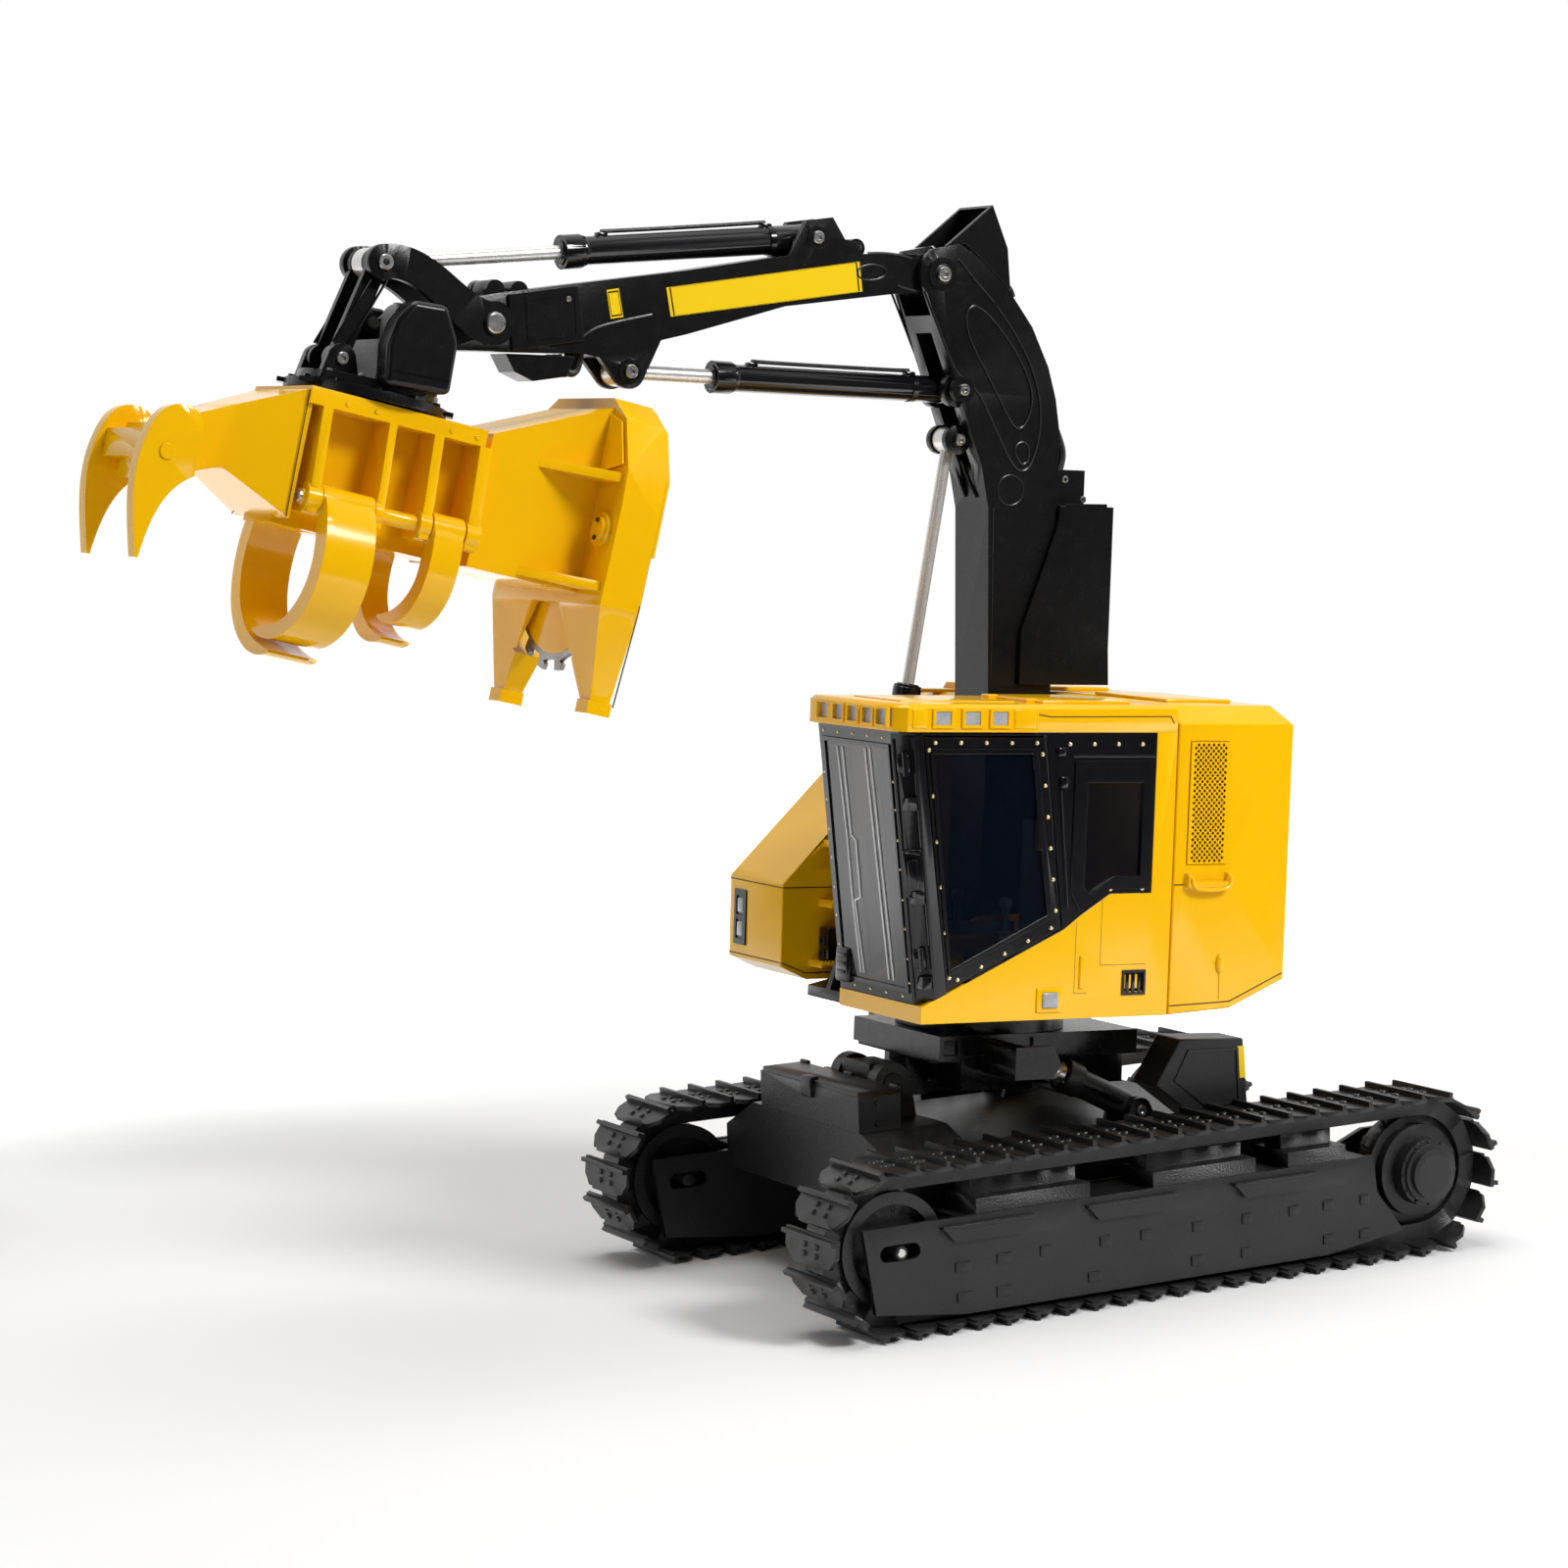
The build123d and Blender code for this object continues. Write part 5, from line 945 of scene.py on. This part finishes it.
# Saw: toothed blade and its dish, about the disc's own axis (z outward from under the shield)
sawPlace = headPlace @ Matrix.Translation((0, 0, -19.0)) @ Matrix.Rotation(math.radians(90), 4, "Y")
saw = {
    "teeth": 18, "low": -50.2, "high": -49.2, "hub": 5.0, "root": 19.9, "boltRing": 9, "bolts": 8,
    "tooth": ((0.0, 19.9), (0.22, 19.7), (0.30, 22.0), (0.62, 22.15), (0.68, 21.0), (0.56, 20.4), (0.80, 19.9)),
    "dish": ((2.6, -47.6), (9.4, -47.6), (13.6, -48.15), (17.4, -48.7), (18.6, -48.95), (18.7, -49.25), (2.6, -49.25)),
}
bm = bmesh.new()
step = 2 * math.pi / saw["teeth"]
outline = [(0.0, saw["hub"]), *saw["tooth"], (1.0, saw["root"]), (1.0, saw["hub"])]
bm.faces.new([bm.verts.new((*onCircle(r, t * step), saw["low"])) for t, r in outline])
bmesh.ops.spin(bm, geom=[*bm.verts, *bm.edges, *bm.faces], cent=(0, 0, 0), axis=(0, 0, 1), dvec=(0, 0, 0),
               angle=2 * math.pi - step, steps=saw["teeth"] - 1, use_duplicate=True)
bmesh.ops.remove_doubles(bm, verts=bm.verts, dist=1e-3)
pushOut(bm, bm.faces[:], (0, 0, saw["high"] - saw["low"]))
addRod(bm, (0, 0, -51.6), (0, 0, -48.6), 6.0, segments=40)
for k in range(saw["bolts"]):
    x, y = onCircle(saw["boltRing"], k * 2 * math.pi / saw["bolts"])
    addRod(bm, (x, y, -50.9), (x, y, -50.1), 0.9, segments=6)
addPiece("saw_blade", bm, sawPlace, "saw_disc", "sawSteel", nodes=("saw_disc",), bevel=0.08, segments=1)
bm = bmesh.new()
verts = [bm.verts.new((r, 0, z)) for r, z in saw["dish"]]
edges = [bm.edges.new(pair) for pair in zip(verts, verts[1:] + verts[:1])]
bmesh.ops.spin(bm, geom=verts + edges, cent=(0, 0, 0), axis=(0, 0, 1), dvec=(0, 0, 0), angle=2 * math.pi, steps=64,
               use_merge=True)
addRod(bm, (0, 0, -48.0), (0, 0, -38.0), 2.5, segments=24)
addPiece("saw_dish", bm, sawPlace, "saw_disc", "yellowEnamel", crease=30)

# Head: pin heads, bosses, cross ribs, seams drawn as painted shade
head = {
    "pin": (13.5, -20.5), "bosses": ((-1.5, 0.2, 2.9), (11.0, 13.9, 2.9), (-21.8, -18.8, 3.0), (-11.6, -9.2, 2.9)),
    "rib": ((13.4, 9.0), (18.6, 7.4), (22.6, -0.8), (13.4, -2.6)), "ribAt": -44.6, "seamAt": -53.7, "seamMiddle": -12.0,
    "seam": ((12.0, 12.0), (18.9, 8.0), (23.85, -1.8), (24.3, -10.0), (23.75, -27.8), (21.2, -46.2)),
}
bm = bmesh.new()
for side in (1, -1):
    w, n = side * head["pin"][0], head["pin"][1]
    addPinHead(bm, (14.3, w, n), (1, 0, 0), 1.3, 0.6)
    addPinHead(bm, (-21.4, w, n), (-1, 0, 0), 1.3, 0.6)
addPiece("head_pins", bm, headPlace, "head", "pinSteel", crease=30)
bm = bmesh.new()
for side in (1, -1):
    w, n = side * head["pin"][0], head["pin"][1]
    for h0, h1, radius in head["bosses"]:
        addRod(bm, (h0, w, n), (h1, w, n), radius, radius, 28)
    addRod(bm, (-44.6, side * 18.8, -13.6), (-43.9, side * 18.8, -13.6), 2.6, 2.4, 28)
    for h in (-18.0, -12.6, 3.0, 9.0):
        addRod(bm, (h, side * 13.9, -2.0), (h, side * 14.3, -2.0), 0.55, 0.45, 10)
addRod(bm, (41.6, 11.0, -18.4), (41.6, 14.6, -18.4), 1.6, 1.5, 20)
for side in (1, -1):  # cross ribs under the shield's top
    addPlate(bm, [(head["ribAt"], side * w, n) for w, n in head["rib"]], (-0.4, 0, 0))
addPiece("head_bosses", bm, headPlace, "head", "yellowEnamel", bevel=0.1, crease=30)
# seam strips of painted shade, the dark brown of the yellow paint in shadow; two small bolts on each boss share that
# colour
bm = bmesh.new()
for side in (1, -1):
    for n in (-11.9, -15.3):
        addRod(bm, (-44.0, side * 18.8, n), (-43.5, side * 18.8, n), 0.55, 0.45, 8)
    addStrip(bm, [(16.6, side * 13.25, -1.2), (16.2, side * 13.25, -24.8)], 0.2, (0, side, 0))
    for (w0, n0), (w1, n1) in zip(head["seam"], head["seam"][1:]):
        middle = Vector((0, side * (w0 + w1) / 2, (n0 + n1) / 2 - head["seamMiddle"]))
        out = Vector((0, side * (n0 - n1), (w1 - w0))).normalized()
        out = out if out.dot(middle) > 0 else -out
        addStrip(bm, [(head["seamAt"], side * w0, n0), (head["seamAt"], side * w1, n1)], 0.3, out, 0.06)
addPiece("head_seam_shadows", bm, headPlace, "head", "paintedShadeBrown")
print("head dressed")


# Undercarriage: hubs, step ledges, access covers, latches, pin heads, plates on the boxes
under = {
    "side": 50.0, "hub": (-63.5, 17.0), "idlerPin": (63.6, 17.0),
    "ledges": ((33.6, 54.3), (-0.1, 20.9), (-34.4, -14.4)),
    "covers": ((49.5, 12.4, 3.6), (40.0, 12.9, 3.6), (30.5, 13.1, 2.6), (16.5, 13.1, 2.6), (6.9, 13.1, 2.4),
               (-5.7, 13.2, 2.6), (-17.7, 13.2, 2.4), (-29.4, 13.3, 2.6), (-38.0, 13.4, 2.6), (-47.2, 13.4, 2.2),
               (49.2, 6.4, 3.6), (40.2, 6.4, 3.6), (19.2, 6.3, 3.0), (-5.5, 6.3, 3.0), (-17.5, 6.3, 2.6),
               (-38.1, 6.3, 2.8), (-47.1, 6.3, 2.4)),
    "boxSide": 33.0, "boxOuter": ((-28.8, 33.0), (-20.4, 33.0), (-12.4, 39.4), (-16.0, 45.4), (-28.4, 44.6)),
    "boxInner": ((-28.2, 33.6), (-20.7, 33.6), (-13.4, 39.5), (-16.4, 44.7), (-27.9, 44.0)),
    "boxPlate": ((-30.2, 38.2), (-28.4, 38.2), (-28.2, 44.8), (-29.9, 44.8)),
}
bm = bmesh.new()
for side in (1, -1):
    x, z = under["hub"]
    addRod(bm, (x, side * 52.4, z), (x, side * 52.62, z), 4.2, 4.0, 48)
    for k in range(12):
        dx, dz = onCircle(6.6, k * math.pi / 6)
        addRod(bm, (x + dx, side * 50.4, z + dz), (x + dx, side * 50.95, z + dz), 0.42, 0.36, 6)
    for x0, x1 in under["ledges"]:
        ledge = ((x0, 20.6), (x1, 20.6), (x1 - 2.6, 17.6), (x0 + 2.6, 17.6))
        addPlate(bm, onSide(ledge, side * under["side"]), (0, side * 1.1, 0))
        low, high = sorted((side * under["side"], side * (under["side"] + 1.4)))
        addRoundBox(bm, (x0 - 0.2, low, 20.2), (x1 + 0.2, high, 20.9), 0.2, 2)
    for x, z, width in under["covers"]:
        low, high = sorted((side * under["side"], side * (under["side"] + 0.42)))
        addRoundBox(bm, (x - width / 2, low, z - 1.0), (x + width / 2, high, z + 1.0), 0.15, 2)
for y in (-18.0, 0.0, 18.0):
    addRoundBox(bm, (44.3, y - 1.6, 41.8), (45.2, y + 1.6, 43.0), 0.3)
addRoundBox(bm, (54.2, -2.1, 39.0), (55.2, 2.1, 42.9), 0.35)
addRoundBox(bm, (53.0, -2.0, 42.3), (54.9, 2.0, 43.2), 0.3)
for side in (1, -1):
    for x, z in ((50.0, 36.0), (50.0, 40.0)):
        addRod(bm, (x, side * 19.9, z), (x, side * 20.4, z), 0.7, 0.6, 8)
    outer, inner = (onSide(under[key], side * under["boxSide"]) for key in ("boxOuter", "boxInner"))
    addRing(bm, outer, inner, (0, side * 0.3, 0))
addPiece("undercarriage_trim", bm, rowPlace, "undercarriage", "undercarriageBlack", crease=30)
bm = bmesh.new()
for side in (1, -1):
    x, z = under["idlerPin"]
    for inner, reach in ((50.3, 0.5), (-35.7, 0.4)):
        addPinHead(bm, (x, side * inner, z), (0, side if inner > 0 else -side, 0), 0.85, reach, 0)
    for x in (-30.0, -22.0):
        addPinHead(bm, (x, side * under["boxSide"], 31.8), (0, side, 0), 0.6, 0.4)
    addPinHead(bm, (-8.0, side * 27.5, 33.0), (0, side, 0), 1.2, 0.5)
addPiece("undercarriage_pins", bm, rowPlace, "undercarriage", "pinSteel", crease=30)
bm = bmesh.new()
for side in (1, -1):
    addPlate(bm, onSide(under["boxPlate"], side * under["boxSide"]), (0, side * 0.15, 0))
addPiece("box_plates", bm, rowPlace, "undercarriage", "plateYellow")
print("undercarriage dressed")
